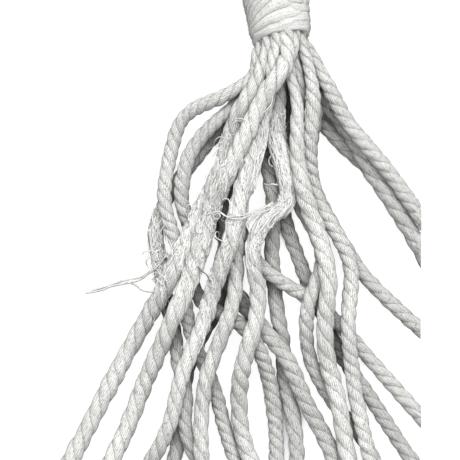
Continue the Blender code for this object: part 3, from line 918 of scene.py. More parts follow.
@dataclass(frozen=True)
class Cotton:
    """Undyed cotton: its clean and dusty colours, and how its yarns show.

    Attributes:
        name: Name of the material.
        clean: Colour of a clean crown.
        dusty: Colour of the dust in it.
        shade: How light it is beside clean cotton; on the laid ropes this is painted shade that darkens the
            lower ones.
        dust: Share of dust, from 0 to 1.
        relief: Height of a yarn, in metres.
        crevice: How dark the painted shade between two yarns and the dirt flecks in them are, from 0 to 1.
        rough: Roughness.
    """

    name: str
    clean: tuple = (0.80, 0.80, 0.775)
    dusty: tuple = (0.42, 0.42, 0.395)
    shade: float = 1.0
    dust: float = 0.28
    relief: float = 0.16 * MM
    crevice: float = 0.68
    rough: float = 0.92


@dataclass(frozen=True)
class ShadeAndDirt:
    """How much light the painted shade and the dirt take from the cotton in its low and hidden places.

    Attributes:
        groove: Painted shade where two strands meet, and how much more at the neck's mouth.
        narrow: Power that narrows the groove to its middle.
        patches: Size, contrast and offset of the patches in which the painted groove shade is darker.
        patch_range: Least and most that a patch multiplies the loss by.
        occlusion_shade: Painted shade deep among other ropes, and how much less where the rope has frayed.
        occlusion_shade_between: Depths between which that sets in.
        underside_shade_between: Upward tilts of the surface between which shade is painted on its underside.
        underside_shade: Light left on the underside by that painted shade.
        underside_shade_frayed: How much less is left there where the rope has frayed.
        mouth_shade: Painted shade between the strands at the mouth.
        line_frayed: How much more light the painted shade and the dirt flecks between yarns take where the
            rope has frayed.
        speck: Lost in a speck of dirt, and how much less where the rope has frayed.
        tone: How much the yarns' own tones differ.
        base: Light of the darkest yarn, and how much more where the rope has frayed.
    """

    groove: tuple = (0.66, 0.10)
    narrow: float = 10.0
    patches: tuple = (210.0, 2.6, -0.55)
    patch_range: tuple = (0.6, 1.3)
    occlusion_shade: tuple = (0.70, 0.50)
    occlusion_shade_between: tuple = (0.42, 0.95)
    underside_shade_between: tuple = (0.08, 0.42)
    underside_shade: float = 0.34
    underside_shade_frayed: float = 0.10
    mouth_shade: float = 0.34
    line_frayed: float = 0.1
    speck: tuple = (0.62, 0.44)
    tone: float = 0.30
    base: tuple = (0.83, 0.03)


class Effects:
    """Shader node groups that the cotton finishes share, each built once."""

    def __init__(self) -> None:
        """Builds the groups."""
        self.shade_and_dirt = ShadeAndDirt()
        self.yarns = self.build_yarns()
        self.soiling = self.build_soiling()

    @staticmethod
    def start(name: str) -> tuple:
        """A new material, its node tree and its surface shader."""
        material = bpy.data.materials.new(name)
        material.use_nodes = True
        return material, material.node_tree, material.node_tree.nodes["Principled BSDF"]

    @staticmethod
    def group(name: str, inputs: dict, outputs: dict) -> tuple:
        """A new group with named sockets.

        Args:
            name: Name of the group.
            inputs: Socket name to its type's short name and default value.
            outputs: Socket name to its type's short name.

        Returns:
            The group, its input node and its output node.
        """
        tree = bpy.data.node_groups.new(name, "ShaderNodeTree")
        for socket, (kind, value) in inputs.items():
            made = tree.interface.new_socket(socket, in_out="INPUT", socket_type=f"NodeSocket{kind}")
            if value is not None:
                made.default_value = value
        for socket, kind in outputs.items():
            tree.interface.new_socket(socket, in_out="OUTPUT", socket_type=f"NodeSocket{kind}")
        return tree, tree.nodes.new("NodeGroupInput"), tree.nodes.new("NodeGroupOutput")

    @staticmethod
    def feed(tree: bpy.types.NodeTree, node: bpy.types.Node, values: dict) -> bpy.types.Node:
        """Sets inputs of a node, or links sockets to them.

        Args:
            tree: The tree that the node is in.
            node: The node.
            values: Name or number of an input to its value or socket.

        Returns:
            The node.
        """
        for name, value in values.items():
            if isinstance(value, bpy.types.NodeSocket):
                tree.links.new(value, node.inputs[name])
            else:
                node.inputs[name].default_value = value
        return node

    @staticmethod
    def node(tree: bpy.types.NodeTree, kind: str, values: dict | None = None,
             **settings: object) -> bpy.types.Node:
        """A new shader node.

        Args:
            tree: The tree that it goes into.
            kind: Its type's short name.
            values: What its inputs are fed with.
            settings: Its own settings.

        Returns:
            The node.
        """
        node = tree.nodes.new(f"ShaderNode{kind}")
        for name, value in settings.items():
            setattr(node, name, value)
        return Effects.feed(tree, node, values or {})

    @staticmethod
    def math(tree: bpy.types.NodeTree, operation: str, *values: object) -> bpy.types.NodeSocket:
        """A Math node fed with numbers and sockets, and its result."""
        return Effects.node(tree, "Math", dict(enumerate(values)), operation=operation).outputs[0]

    @staticmethod
    def noise(tree: bpy.types.NodeTree, where: object, scale: float, detail: float = 2.0,
              rough: float = 0.5) -> bpy.types.NodeSocket:
        """A Noise Texture's value at `where`."""
        return Effects.node(tree, "TexNoise", {"Scale": scale, "Detail": detail, "Roughness": rough,
                                               "Vector": where}).outputs["Fac"]

    @staticmethod
    def ramp(tree: bpy.types.NodeTree, value: object, between: tuple, least: float = 0.0
             ) -> bpy.types.NodeSocket:
        """A smooth step of a value from `least` to 1 between two of its levels."""
        return Effects.node(tree, "MapRange", {
            "Value": value, "From Min": between[0], "From Max": between[1], "To Min": least},
            interpolation_type="SMOOTHSTEP").outputs["Result"]

    @staticmethod
    def stretched(tree: bpy.types.NodeTree, lay: bpy.types.Node, across: float, along: float,
                  layer: object = 0.0) -> bpy.types.NodeSocket:
        """The place on the lay times `across` and `along`, in a layer of its own."""
        return Effects.node(tree, "CombineXYZ", {
            0: Effects.math(tree, "MULTIPLY", lay.outputs[0], across),
            1: Effects.math(tree, "MULTIPLY", lay.outputs[1], along), 2: layer}).outputs[0]

    def build_yarns(self) -> bpy.types.NodeTree:
        """Yarns lying side by side: round ridges, one to each unit of u, that stray a little.

        Each yarn has a tone of its own, fine plies that slant across it, loose fibres along it,
        and dark flecks where dirt has caught in them. The lines between yarns carry painted shade.

        Returns:
            The group.
        """
        tree, given, made = self.group(
            "yarns", {"Lay": ("Vector", None), "Stray": ("Float", 0.5), "Fray": ("Float", 0.0)},
            {"Height": "Float", "Tone": "Float", "Crevice": "Float"})
        math = partial(self.math, tree)
        lay = self.node(tree, "SeparateXYZ", {0: given.outputs["Lay"]})
        u, v = lay.outputs[0], lay.outputs[1]
        stray = math("SUBTRACT", self.noise(tree, self.stretched(tree, lay, 0.22, 0.11), 1.0, 1.0), 0.5)
        amount = math("MULTIPLY_ADD", given.outputs["Fray"], 1.5, given.outputs["Stray"])
        shifted = math("MULTIPLY_ADD", stray, math("MULTIPLY", amount, 3.0), u)
        ridge = math("MULTIPLY", math("PINGPONG", shifted, 0.5), 2.0)
        tone = self.node(tree, "TexWhiteNoise", noise_dimensions="1D")
        tone = self.feed(tree, tone, {"W": math("FLOOR", shifted)}).outputs["Value"]
        plies = math("SINE", math("MULTIPLY_ADD", v, tau / 1.15, math("MULTIPLY", shifted, tau)))
        number = math("FLOOR", math("ADD", shifted, 0.5))
        fibre = self.noise(tree, self.stretched(tree, lay, 4.0, 0.75, number), 1.0, 3.0, 0.6)
        height = math("MULTIPLY_ADD", plies, 0.10, math("POWER", ridge, 0.55))
        height = math("MULTIPLY_ADD", tone, 0.3, math("MULTIPLY_ADD", fibre, 0.45, height))
        fleck = math("SUBTRACT", self.noise(tree, self.stretched(tree, lay, 1.9, 0.38), 1.0, 2.0, 0.6), 0.53)
        fleck = math("MINIMUM", math("MULTIPLY", math("MAXIMUM", fleck, 0.0), 11.0), 1.0)
        crevice = math("POWER", math("SUBTRACT", 1.0, ridge), 2.0)
        # Crevice: dirt flecks, and painted shade in the lines between yarns.
        self.feed(tree, made, {
            "Height": height,
            "Tone": math("MULTIPLY_ADD", fibre, 0.9, math("MULTIPLY", tone, 0.55)),
            "Crevice": math("MULTIPLY_ADD", fleck, 0.50, math("MULTIPLY", crevice, 0.62))})
        return tree

    def build_soiling(self) -> bpy.types.NodeTree:
        """Dust in broad patches and small specks, from 0 where it is clean to 1.

        Returns:
            The group.
        """
        tree, given, made = self.group(
            "soiling", {"Position": ("Vector", None), "Amount": ("Float", 0.5)},
            {"Dust": "Float", "Specks": "Float"})
        math = partial(self.math, tree)
        broad = math("SUBTRACT", self.noise(tree, given.outputs["Position"], 60.0, 3.0, 0.6), 0.3)
        patches = math("SMOOTH_MIN", math("MULTIPLY", broad, 1.6), 1.0, 0.2)
        speck = math("SUBTRACT", self.noise(tree, given.outputs["Position"], 2100.0, 1.0, 0.5), 0.625)
        speck = math("MULTIPLY", math("MAXIMUM", speck, 0.0), 16.0)
        dust = self.node(tree, "Clamp", {"Value": math("MULTIPLY", patches, given.outputs["Amount"])})
        self.feed(tree, made, {"Dust": dust.outputs[0], "Specks": math("MINIMUM", speck, 1.0)})
        return tree

    def shaded(self, tree: bpy.types.NodeTree, colour: object, light: object) -> bpy.types.NodeSocket:
        """A colour times a light."""
        return self.node(tree, "VectorMath", {0: colour, "Scale": light}, operation="SCALE").outputs[0]

    def light(self, tree: bpy.types.NodeTree, marks: dict, where: object, yarns: bpy.types.Node,
              specks: object, crevice: float) -> bpy.types.NodeSocket:
        """How light the cotton is: the product of what painted shade and dirt leave.

        Args:
            tree: The material's tree.
            marks: Name of a mark to its value.
            where: The place in the object.
            yarns: The yarns.
            specks: Where specks of dirt are.
            crevice: How dark the painted shade in the line between two yarns, and the dirt flecks, are.

        Returns:
            The light, from 0 to about 1.
        """
        shade_and_dirt = self.shade_and_dirt
        math = partial(self.math, tree)
        size, contrast, offset = shade_and_dirt.patches
        patch = math("MULTIPLY_ADD", self.noise(tree, where, size, 2.0, 0.6), contrast, offset)
        patch = math("MINIMUM", math("MAXIMUM", patch, shade_and_dirt.patch_range[0]), shade_and_dirt.patch_range[1])
        # Painted shade in the grooves, darker in random patches and towards the mouth.
        groove_shade = math("MULTIPLY", math("MULTIPLY_ADD", marks["mouth"], shade_and_dirt.groove[1], shade_and_dirt.groove[0]), patch)
        groove = math("MULTIPLY", math("POWER", marks["groove"], shade_and_dirt.narrow), groove_shade)
        # Painted shade deep among other ropes, where they hide the sky; less where the rope has frayed.
        opened = math("MULTIPLY_ADD", marks["fray"], shade_and_dirt.occlusion_shade[1], -shade_and_dirt.occlusion_shade[0])
        occlusion_shade = math("MULTIPLY_ADD", self.ramp(tree, marks["deep"], shade_and_dirt.occlusion_shade_between), opened, 1.0)
        # Painted shade on the underside, where the surface turns down.
        normal = self.node(tree, "NewGeometry").outputs["Normal"]
        upward = self.node(tree, "SeparateXYZ", {0: normal}).outputs[2]
        underside_shade = math("MULTIPLY", self.ramp(tree, upward, shade_and_dirt.underside_shade_between, shade_and_dirt.underside_shade),
                       math("MULTIPLY_ADD", marks["fray"], -shade_and_dirt.underside_shade_frayed, 1.0))
        # Painted shade between the strands near the mouth.
        mouth_shade = math("MULTIPLY", marks["mouth"], math("POWER", marks["groove"], 2.0))
        # Painted shade between yarns, with the dirt flecks in them.
        line = math("MULTIPLY_ADD", marks["fray"], -shade_and_dirt.line_frayed * crevice, -crevice)
        base = math("MULTIPLY_ADD", marks["fray"], shade_and_dirt.base[1], shade_and_dirt.base[0])
        speck = math("MULTIPLY_ADD", marks["fray"], shade_and_dirt.speck[1], -shade_and_dirt.speck[0])
        left = (math("SUBTRACT", 1.0, groove), occlusion_shade, underside_shade,
                math("MULTIPLY_ADD", mouth_shade, -shade_and_dirt.mouth_shade, 1.0),
                math("MULTIPLY_ADD", yarns.outputs["Crevice"], line, 1.0),
                math("MULTIPLY_ADD", yarns.outputs["Tone"], shade_and_dirt.tone, base),
                math("MULTIPLY_ADD", specks, speck, 1.0))
        return reduce(partial(math, "MULTIPLY"), left)

    def laid(self, finish: Cotton) -> bpy.types.Material:
        """Cotton laid in yarns: painted shade in grooves, between yarns, deep among ropes and underneath;
        dusty in patches.

        Args:
            finish: Its colours and relief.

        Returns:
            The material, which reads the `lay` UV map, and the marks `groove`, `fray`, `deep` and
            `mouth` where a piece has them.
        """
        material, tree, surface = self.start(finish.name)
        where = self.node(tree, "TexCoord").outputs
        marks = {mark: self.node(tree, "Attribute", attribute_name=mark).outputs["Fac"]
                 for mark in ("groove", "fray", "deep", "mouth")}
        yarns = self.node(tree, "Group", node_tree=self.yarns)
        self.feed(tree, yarns, {"Lay": where["UV"], "Fray": marks["fray"]})
        soiling = self.node(tree, "Group", node_tree=self.soiling)
        self.feed(tree, soiling, {"Amount": finish.dust, "Position": where["Object"]})
        clean, dusty = ((*(c * finish.shade for c in colour), 1.0) for colour in (finish.clean, finish.dusty))
        colour = self.node(tree, "Mix", data_type="RGBA")
        self.feed(tree, colour, {"A": clean, "B": dusty, "Factor": soiling.outputs["Dust"]})
        light = self.light(tree, marks, where["Object"], yarns, soiling.outputs["Specks"], finish.crevice)
        bump = self.node(tree, "Bump", {"Strength": 0.9, "Distance": finish.relief,
                                        "Height": yarns.outputs["Height"]})
        self.feed(tree, surface, {
            "Base Color": self.shaded(tree, colour.outputs["Result"], light), "Normal": bump.outputs[0],
            "Roughness": finish.rough, "Specular IOR Level": 0.2, "Sheen Weight": 0.15,
            "Sheen Roughness": 0.5})
        return material

    def cut(self, finish: Cotton) -> bpy.types.Material:
        """Cut yarn ends: a light dot for each yarn, with painted shade in the lines between them.

        Args:
            finish: Their colour and relief.

        Returns:
            The material.
        """
        material, tree, surface = self.start(finish.name)
        place = self.node(tree, "TexCoord").outputs["Object"]
        cells = self.node(tree, "TexVoronoi", {"Scale": 1 / (0.75 * MM), "Vector": place})
        # Painted shade in the lines between the yarn ends.
        light = self.math(tree, "MULTIPLY_ADD", cells.outputs["Distance"], -0.6, 1.0)
        colour = tuple(c * finish.shade for c in finish.clean)
        bump = self.node(tree, "Bump", {"Distance": finish.relief, "Height": light})
        self.feed(tree, surface, {"Base Color": self.shaded(tree, colour, light),
                                  "Normal": bump.outputs[0], "Roughness": finish.rough})
        return material


@dataclass
class LaidRopes:
    """The twenty laid ropes.

    Attributes:
        neck: The neck that they come out of.
        lie: How they lie.
        effects: The finishes.
        strands: Their surface.
        lowest_painted_shade: How light the lowest rope is beside the top one, as painted shade on the lower
            ropes.
        exit_back: How far inside the mouth each leaves the neck.
        slant: Length that an upright cut adds to a rope's line.
        sharp: Edges that turn more than this stay sharp.
        built: Rope name to its piece.
    """

    neck: Neck
    lie: Lie
    effects: Effects
    strands: Strands
    lowest_painted_shade: float = 0.66
    exit_back: float = 2.0 * MM
    slant: float = 2.8 * MM
    sharp: float = radians(48)
    built: dict = field(default_factory=dict)

    def build(self) -> None:
        """Builds each rope in place of its plain tube."""
        cut = self.effects.cut(Cotton("cut_yarns", shade=0.8))
        for layer, rope in enumerate(ROPES):
            # Painted shade: the lower a rope lies, the darker its colour.
            shade = self.lowest_painted_shade + (1 - self.lowest_painted_shade) * layer / (len(ROPES) - 1)
            line = self.lie.lines[rope.name]
            laid = self.effects.laid(Cotton(f"{rope.name}_cotton", shade=shade))
            piece = self.strands.tube(rope, line).mesh_object(
                f"{rope.name}_laid", [laid, cut], sharp=self.sharp)
            self.built[rope.name] = dress(piece, rope.name)

    def declare(self) -> None:
        """Works out each rope's length, path and place in the neck, and keeps none of them.
        """
        for rope in ROPES:
            line = self.lie.lines[rope.name]
            length = float(np.linalg.norm(np.diff(line.points, axis=0), axis=1).sum())
            path = line.points[::2]
            if rope.end is End.UPRIGHT:
                path = np.vstack((path, line.points[-1] + line.tangent[-1] * self.slant))
            tuple(self.neck.place(rope, self.exit_back))


@dataclass
class FrayedYarns:
    """Yarns that have come loose on the worn stretches, and lie along them in waves and curls.

    Attributes:
        lie: How the ropes lie.
        effects: The finishes.
        strands: The ropes' surface.
        radius: Radius of a yarn.
        points: Points along each.
        sides: Corners round each.
        curl_share: Share of short yarns that curl into loops.
        lengths: Least and greatest length in mm of a curled yarn, and of the others.
        curls: Least and greatest half width in mm of a curl.
        turns: Least and greatest drift round the rope, as a share of the strands' twist.
        sector: Angles round the rope between which they lie.
        tuck: How far an end sinks in, and over what length.
        free_share: Share of the others with a free end.
        free: How far a free end stands off, and how long it is.
        seed: Purpose for which the dice are rolled.
    """

    lie: Lie
    effects: Effects
    strands: Strands = field(default_factory=Strands)
    radius: float = 0.25 * MM
    points: int = 34
    sides: int = 4
    curl_share: float = 0.22
    lengths: tuple = ((1, 5), (9, 30))
    curls: tuple = (0.5, 1.7)
    turns: tuple = (0.05, 0.75)
    sector: tuple = (radians(-15), radians(195))
    tuck: tuple = (0.7 * MM, 2.0 * MM)
    free_share: float = 0.3
    free: tuple = (2.0 * MM, 6 * MM)
    seed: int = 500

    def build(self) -> dict:
        """Builds the loosened yarns of each frayed rope.

        Returns:
            Rope name to the list of its pieces.
        """
        finish = self.effects.laid(Cotton("loose_yarn_cotton", clean=(0.97, 0.97, 0.95), crevice=0.25,
                                          dust=0.15, relief=0.03 * MM))
        made = {}
        for rope in ROPES:
            for number, fray in enumerate(rope.frays, 1):
                tubes = self.coat(rope, fray, self.lie.lines[rope.name])
                piece = tubes.mesh_object(f"{rope.name}_loosened_yarns_{number}", [finish])
                made.setdefault(rope.name, []).append(dress(piece))
        return made

    def coat(self, rope: Rope, fray: Fray, line: Line) -> Tubes:
        """Yarns over one frayed stretch.

        A yarn follows the rope at an angle round it that drifts with the twist and waves to and
        fro, at a height that follows the strands and lifts in places. Its ends sink in or stand off.
        Some are short and curl into loops.

        Args:
            rope: The rope.
            fray: The stretch.
            line: The rope's line.

        Returns:
            All the yarns as tubes.
        """
        rng = rope.dice(self.seed)
        count = fray.yarns
        below = self.strands.below(line)
        ahead = line.along > 0
        first, last = np.interp((fray.start, fray.stop), below[ahead], line.along[ahead])
        curled = rng.uniform(0, 1, (count, 1)) < self.curl_share * (0.4 + fray.wild)
        short, long = (rng.uniform(*limits, (count, 1)) for limits in self.lengths)
        length = np.where(curled, short, long) * MM
        begin = rng.uniform(first - 4 * MM, last - 6 * MM, (count, 1))
        share = np.linspace(0, 1, self.points)[None, :]
        along = begin + length * share
        radius = np.interp(along, line.along, line.radius * self.strands.girth(rope, line))
        turn = -rng.uniform(*self.turns, (count, 1)) * tau / (rope.lay * rope.diameter * MM)
        angle = rng.uniform(*self.sector, (count, 1)) + turn * (along - begin)
        wild = rng.uniform(0.1, 1.0, (count, 1)) ** 2 * fray.wild
        angle = angle + (0.15 + 0.8 * wild) * MM / radius * wander(rng, along, 9 * MM)
        angle = angle + 0.8 * wild * MM / radius * wander(rng, along, 4.5 * MM)
        loops = tau * share * rng.uniform(0.8, 1.9, (count, 1)) + rng.uniform(0, tau, (count, 1))
        wide = np.where(curled, rng.uniform(*self.curls, (count, 2)), 0.0) * MM
        angle = angle + wide[:, :1] / radius * np.sin(loops)
        slide = 0.7 * MM * wild * wander(rng, along, 5 * MM) + wide[:, 1:] * np.cos(loops)
        phase = angle - self.strands.twist(rope, along + slide)
        shape = self.strands.profile(phase, np.full_like(along, 0.3))
        lift = self.radius * rng.uniform(0.0, 1.1, (count, 1))
        lift = lift + 0.25 * wide[:, :1] * (1 + np.sin(loops * 0.5))
        lift = lift + 1.0 * MM * wild * np.maximum(wander(rng, along, 8 * MM), 0) ** 2
        sunk, sinking = self.tuck
        proud, ending = self.free
        tuck = 1 - smooth(share * length / sinking) * smooth((1 - share) * length / sinking)
        free = rng.uniform(0, 1, (count, 1)) < self.free_share
        free = free * smooth((share * length - length + ending) / ending)
        lift = lift - sunk * tuck * (free < 0.5) * ~curled + proud * wild * free
        point, _, side, up, _ = line.at(along + slide)
        out = side * np.cos(angle)[..., None] + up * np.sin(angle)[..., None]
        paths = point + out * (radius * self.strands.fluff * shape + lift)[..., None]
        paths[..., 2] = np.maximum(paths[..., 2], self.radius)
        thick = self.radius * rng.uniform(0.6, 1.2, (count, 1)) * (1 - 0.5 * free)
        ends = np.minimum(smooth(share * 40), smooth((1 - share) * 40))
        return sweep(paths, thick * (0.35 + 0.65 * ends), self.sides)


@dataclass
class LooseYarns:
    """The single yarns that lie across the bunch, resting on whatever is under them.

    Attributes:
        lie: How the ropes lie.
        effects: The finishes.
        strands: The ropes' surface.
        points: Points along each yarn.
        sides: Corners round each.
        coat: Thickness of the frayed yarns that lie on a worn stretch.
        crest_bend: Tightest bend where a yarn goes over a rope.
        valley_bend: Tightest bend where it comes down again.
        seed: Start of the random numbers.
    """

    lie: Lie
    effects: Effects
    strands: Strands = field(default_factory=Strands)
    points: int = 44
    sides: int = 5
    coat: float = 0.85 * MM
    crest_bend: float = 3.0 * MM
    valley_bend: float = 30.0 * MM
    seed: int = 31

    def top(self, plan: np.ndarray) -> np.ndarray:
        """The top of the pile: the highest of the ropes' round backs, with their loose coats.

        Args:
            plan: Places, as rows of x and y.

        Returns:
            Height at each, 0 beside the pile.
        """
        top = np.zeros(len(plan))
        for rope in ROPES:
            line = self.lie.lines[rope.name]
            apart = np.linalg.norm(plan[:, None, :] - line.points[None, :, :2], axis=2)
            reach = (line.radius * self.strands.fluff
                     + self.coat * self.strands.loose(rope, line, line.along))[None, :]
            over = line.points[None, :, 2] + np.sqrt(np.maximum(reach ** 2 - apart ** 2, 0.0))
            top = np.maximum(top, np.where(apart < reach, over, 0.0).max(axis=1))
        return top

    def path(self, yarn: LooseYarn) -> np.ndarray:
        """The yarn's middle line: a smooth curve through its way, laid over the pile.

        Args:
            yarn: The yarn.

        Returns:
            Rows of x, y and z.
        """
        way = np.array(yarn.way) * MM + np.array(self.lie.neck.mouth)
        way = np.vstack((2 * way[0] - way[1], way, 2 * way[-1] - way[-2]))
        share = np.linspace(0, len(way) - 3 - 1e-9, 240)
        k = share.astype(int)
        t = (share - k)[:, None]
        before, first, last, after = way[k], way[k + 1], way[k + 2], way[k + 3]
        plan = first + 0.5 * t * (last - before + t * (2 * before - 5 * first + 4 * last - after
                                                       + t * (3 * (first - last) + after - before)))
        along = np.concatenate(([0.0], np.cumsum(np.linalg.norm(np.diff(plan, axis=0), axis=1))))
        even = np.linspace(0, along[-1], self.points)
        plan = np.stack([np.interp(even, along, plan[:, axis]) for axis in range(2)], -1)
        low = self.top(plan) + yarn.radius * MM
        height = self.lie.settle(low, even, self.crest_bend, self.valley_bend)
        return np.column_stack((plan, height))

    def strand(self, rng: np.random.Generator, yarn: LooseYarn) -> np.ndarray:
        """The middle lines of a yarn and of those that lie side by side with it.

        Args:
            rng: Source of how they part.
            yarn: The yarn.

        Returns:
            Yarn, point and xyz.
        """
        path = self.path(yarn)
        if yarn.count == 1:
            return path[None]
        run = np.linspace(0, np.linalg.norm(np.diff(path, axis=0), axis=1).sum(), self.points)
        first = rng.uniform(0, 0.35, (yarn.count, 1))
        last = rng.uniform(0.65, 1, (yarn.count, 1))
        along = run[-1] * (first + (last - first) * np.linspace(0, 1, self.points))
        middle = np.stack([np.interp(along, run, path[:, axis]) for axis in range(3)], -1)
        ahead = np.gradient(path[:, :2], axis=0)
        aside = np.column_stack((-ahead[:, 1], ahead[:, 0])) / np.linalg.norm(ahead, axis=1)[:, None]
        aside = np.stack([np.interp(along, run, aside[:, axis]) for axis in range(2)], -1)
        share = rng.uniform(-1, 1, (yarn.count, 1)) + 0.28 * wander(rng, along, 11 * MM)
        crown = np.sqrt(np.maximum(1 - (0.85 * share) ** 2, 0.0))
        middle[..., :2] += aside * (share * yarn.spread * MM)[..., None]
        rise = crown - 0.5 + 0.2 * wander(rng, along, 8 * MM)
        middle[..., 2] += rise * 0.6 * yarn.spread * MM - self.coat
        return middle

    def build(self, made: dict) -> None:
        """Builds each rope's loose yarns as one piece and adds it to the rope's pieces.

        Args:
            made: Rope name to the list of its pieces.
        """
        finishes = {tone: self.effects.laid(Cotton(f"{tone.value[0]}_yarn_cotton", clean=tone.value[1],
                                                   crevice=0.3, dust=0.05, relief=0.04 * MM))
                    for tone in Tone}
        rng = np.random.default_rng(self.seed)
        for name, loose in LOOSE_YARNS.items():
            for tone, finish in finishes.items():
                yarns = [yarn for yarn in loose if yarn.tone is tone]
                if not yarns:
                    continue
                paths = np.concatenate([self.strand(rng, yarn) for yarn in yarns])
                thick = np.repeat([yarn.radius * MM for yarn in yarns], [yarn.count for yarn in yarns])
                wave = wander(rng, np.linspace(0, 30, self.points) * np.ones((len(paths), 1)), 7)
                tubes = sweep(paths, thick[:, None] * (1 + 0.14 * wave), self.sides)
                piece = tubes.mesh_object(f"{name}_{tone.value[0]}_loose_yarns", [finish])
                made.setdefault(name, []).append(dress(piece))


@dataclass
class Fuzz:
    """Fine hairs of cotton that stand off every rope, thickest where it has frayed.

    Attributes:
        lie: How the ropes lie.
        effects: The finishes.
        strands: The ropes' surface.
        radius: Radius of a hair at its root.
        spacing: Length of rope to each hair.
        frayed_spacing: The same where the rope has frayed.
        points: Points along each hair.
        lengths: Least and greatest length in mm of a hair.
        sector: Angles round the rope between which they stand.
        seed: Purpose for which the dice are rolled.
    """

    lie: Lie
    effects: Effects
    strands: Strands = field(default_factory=Strands)
    radius: float = 0.085 * MM
    spacing: float = 2.2 * MM
    frayed_spacing: float = 0.5 * MM
    points: int = 7
    lengths: tuple = (0.8, 3.4)
    sector: tuple = (radians(-25), radians(205))
    seed: int = 900

    def build(self, made: dict) -> None:
        """Builds each rope's hairs as one piece and adds it to the rope's pieces.

        Args:
            made: Rope name to the list of its pieces.
        """
        finish = self.effects.laid(Cotton("fuzz_cotton", clean=(0.80, 0.80, 0.78), crevice=0.0,
                                          dust=0.1, relief=0.01 * MM))
        for rope in ROPES:
            piece = self.hairs(rope, self.lie.lines[rope.name]).mesh_object(f"{rope.name}_fuzz", [finish])
            made.setdefault(rope.name, []).append(dress(piece))

    def hairs(self, rope: Rope, line: Line) -> Tubes:
        """The hairs of one rope, each a short curved thread rooted in its surface.

        Args:
            rope: The rope.
            line: The line on which it lies.

        Returns:
            All the hairs as tubes.
        """
        rng = rope.dice(self.seed)
        grid = line.along[line.along > 1 * MM]
        frayed = self.strands.loose(rope, line, grid)
        density = 1 / self.spacing + frayed * (1 / self.frayed_spacing - 1 / self.spacing)
        total = np.cumsum(density) * (grid[1] - grid[0])
        root = np.interp(rng.uniform(0, total[-1], int(total[-1])), total, grid)[:, None]
        count = len(root)
        share = np.linspace(0, 1, self.points)[None, :]
        length = rng.uniform(*self.lengths, (count, 1)) * MM
        heading = rng.uniform(0, tau, (count, 1))
        curve = rng.uniform(-2.4, 2.4, (count, 1)) * share ** 1.4
        along = root + length * share * np.cos(heading + curve)
        angle = rng.uniform(*self.sector, (count, 1))
        radius = np.interp(root, line.along, line.radius * self.strands.girth(rope, line))
        radius = radius * self.strands.fluff
        angle = angle + length * share / radius * np.sin(heading + curve)
        lift = length * rng.uniform(0.05, 0.5, (count, 1)) * share ** 1.2
        shape = self.strands.profile(angle - self.strands.twist(rope, along), np.zeros_like(along))
        point, _, side, up, _ = line.at(along)
        out = side * np.cos(angle)[..., None] + up * np.sin(angle)[..., None]
        paths = point + out * (radius * shape + lift)[..., None]
        paths[..., 2] = np.maximum(paths[..., 2], self.radius)
        return sweep(paths, self.radius * (1.05 - 0.6 * share) * np.ones((count, 1)), 3)


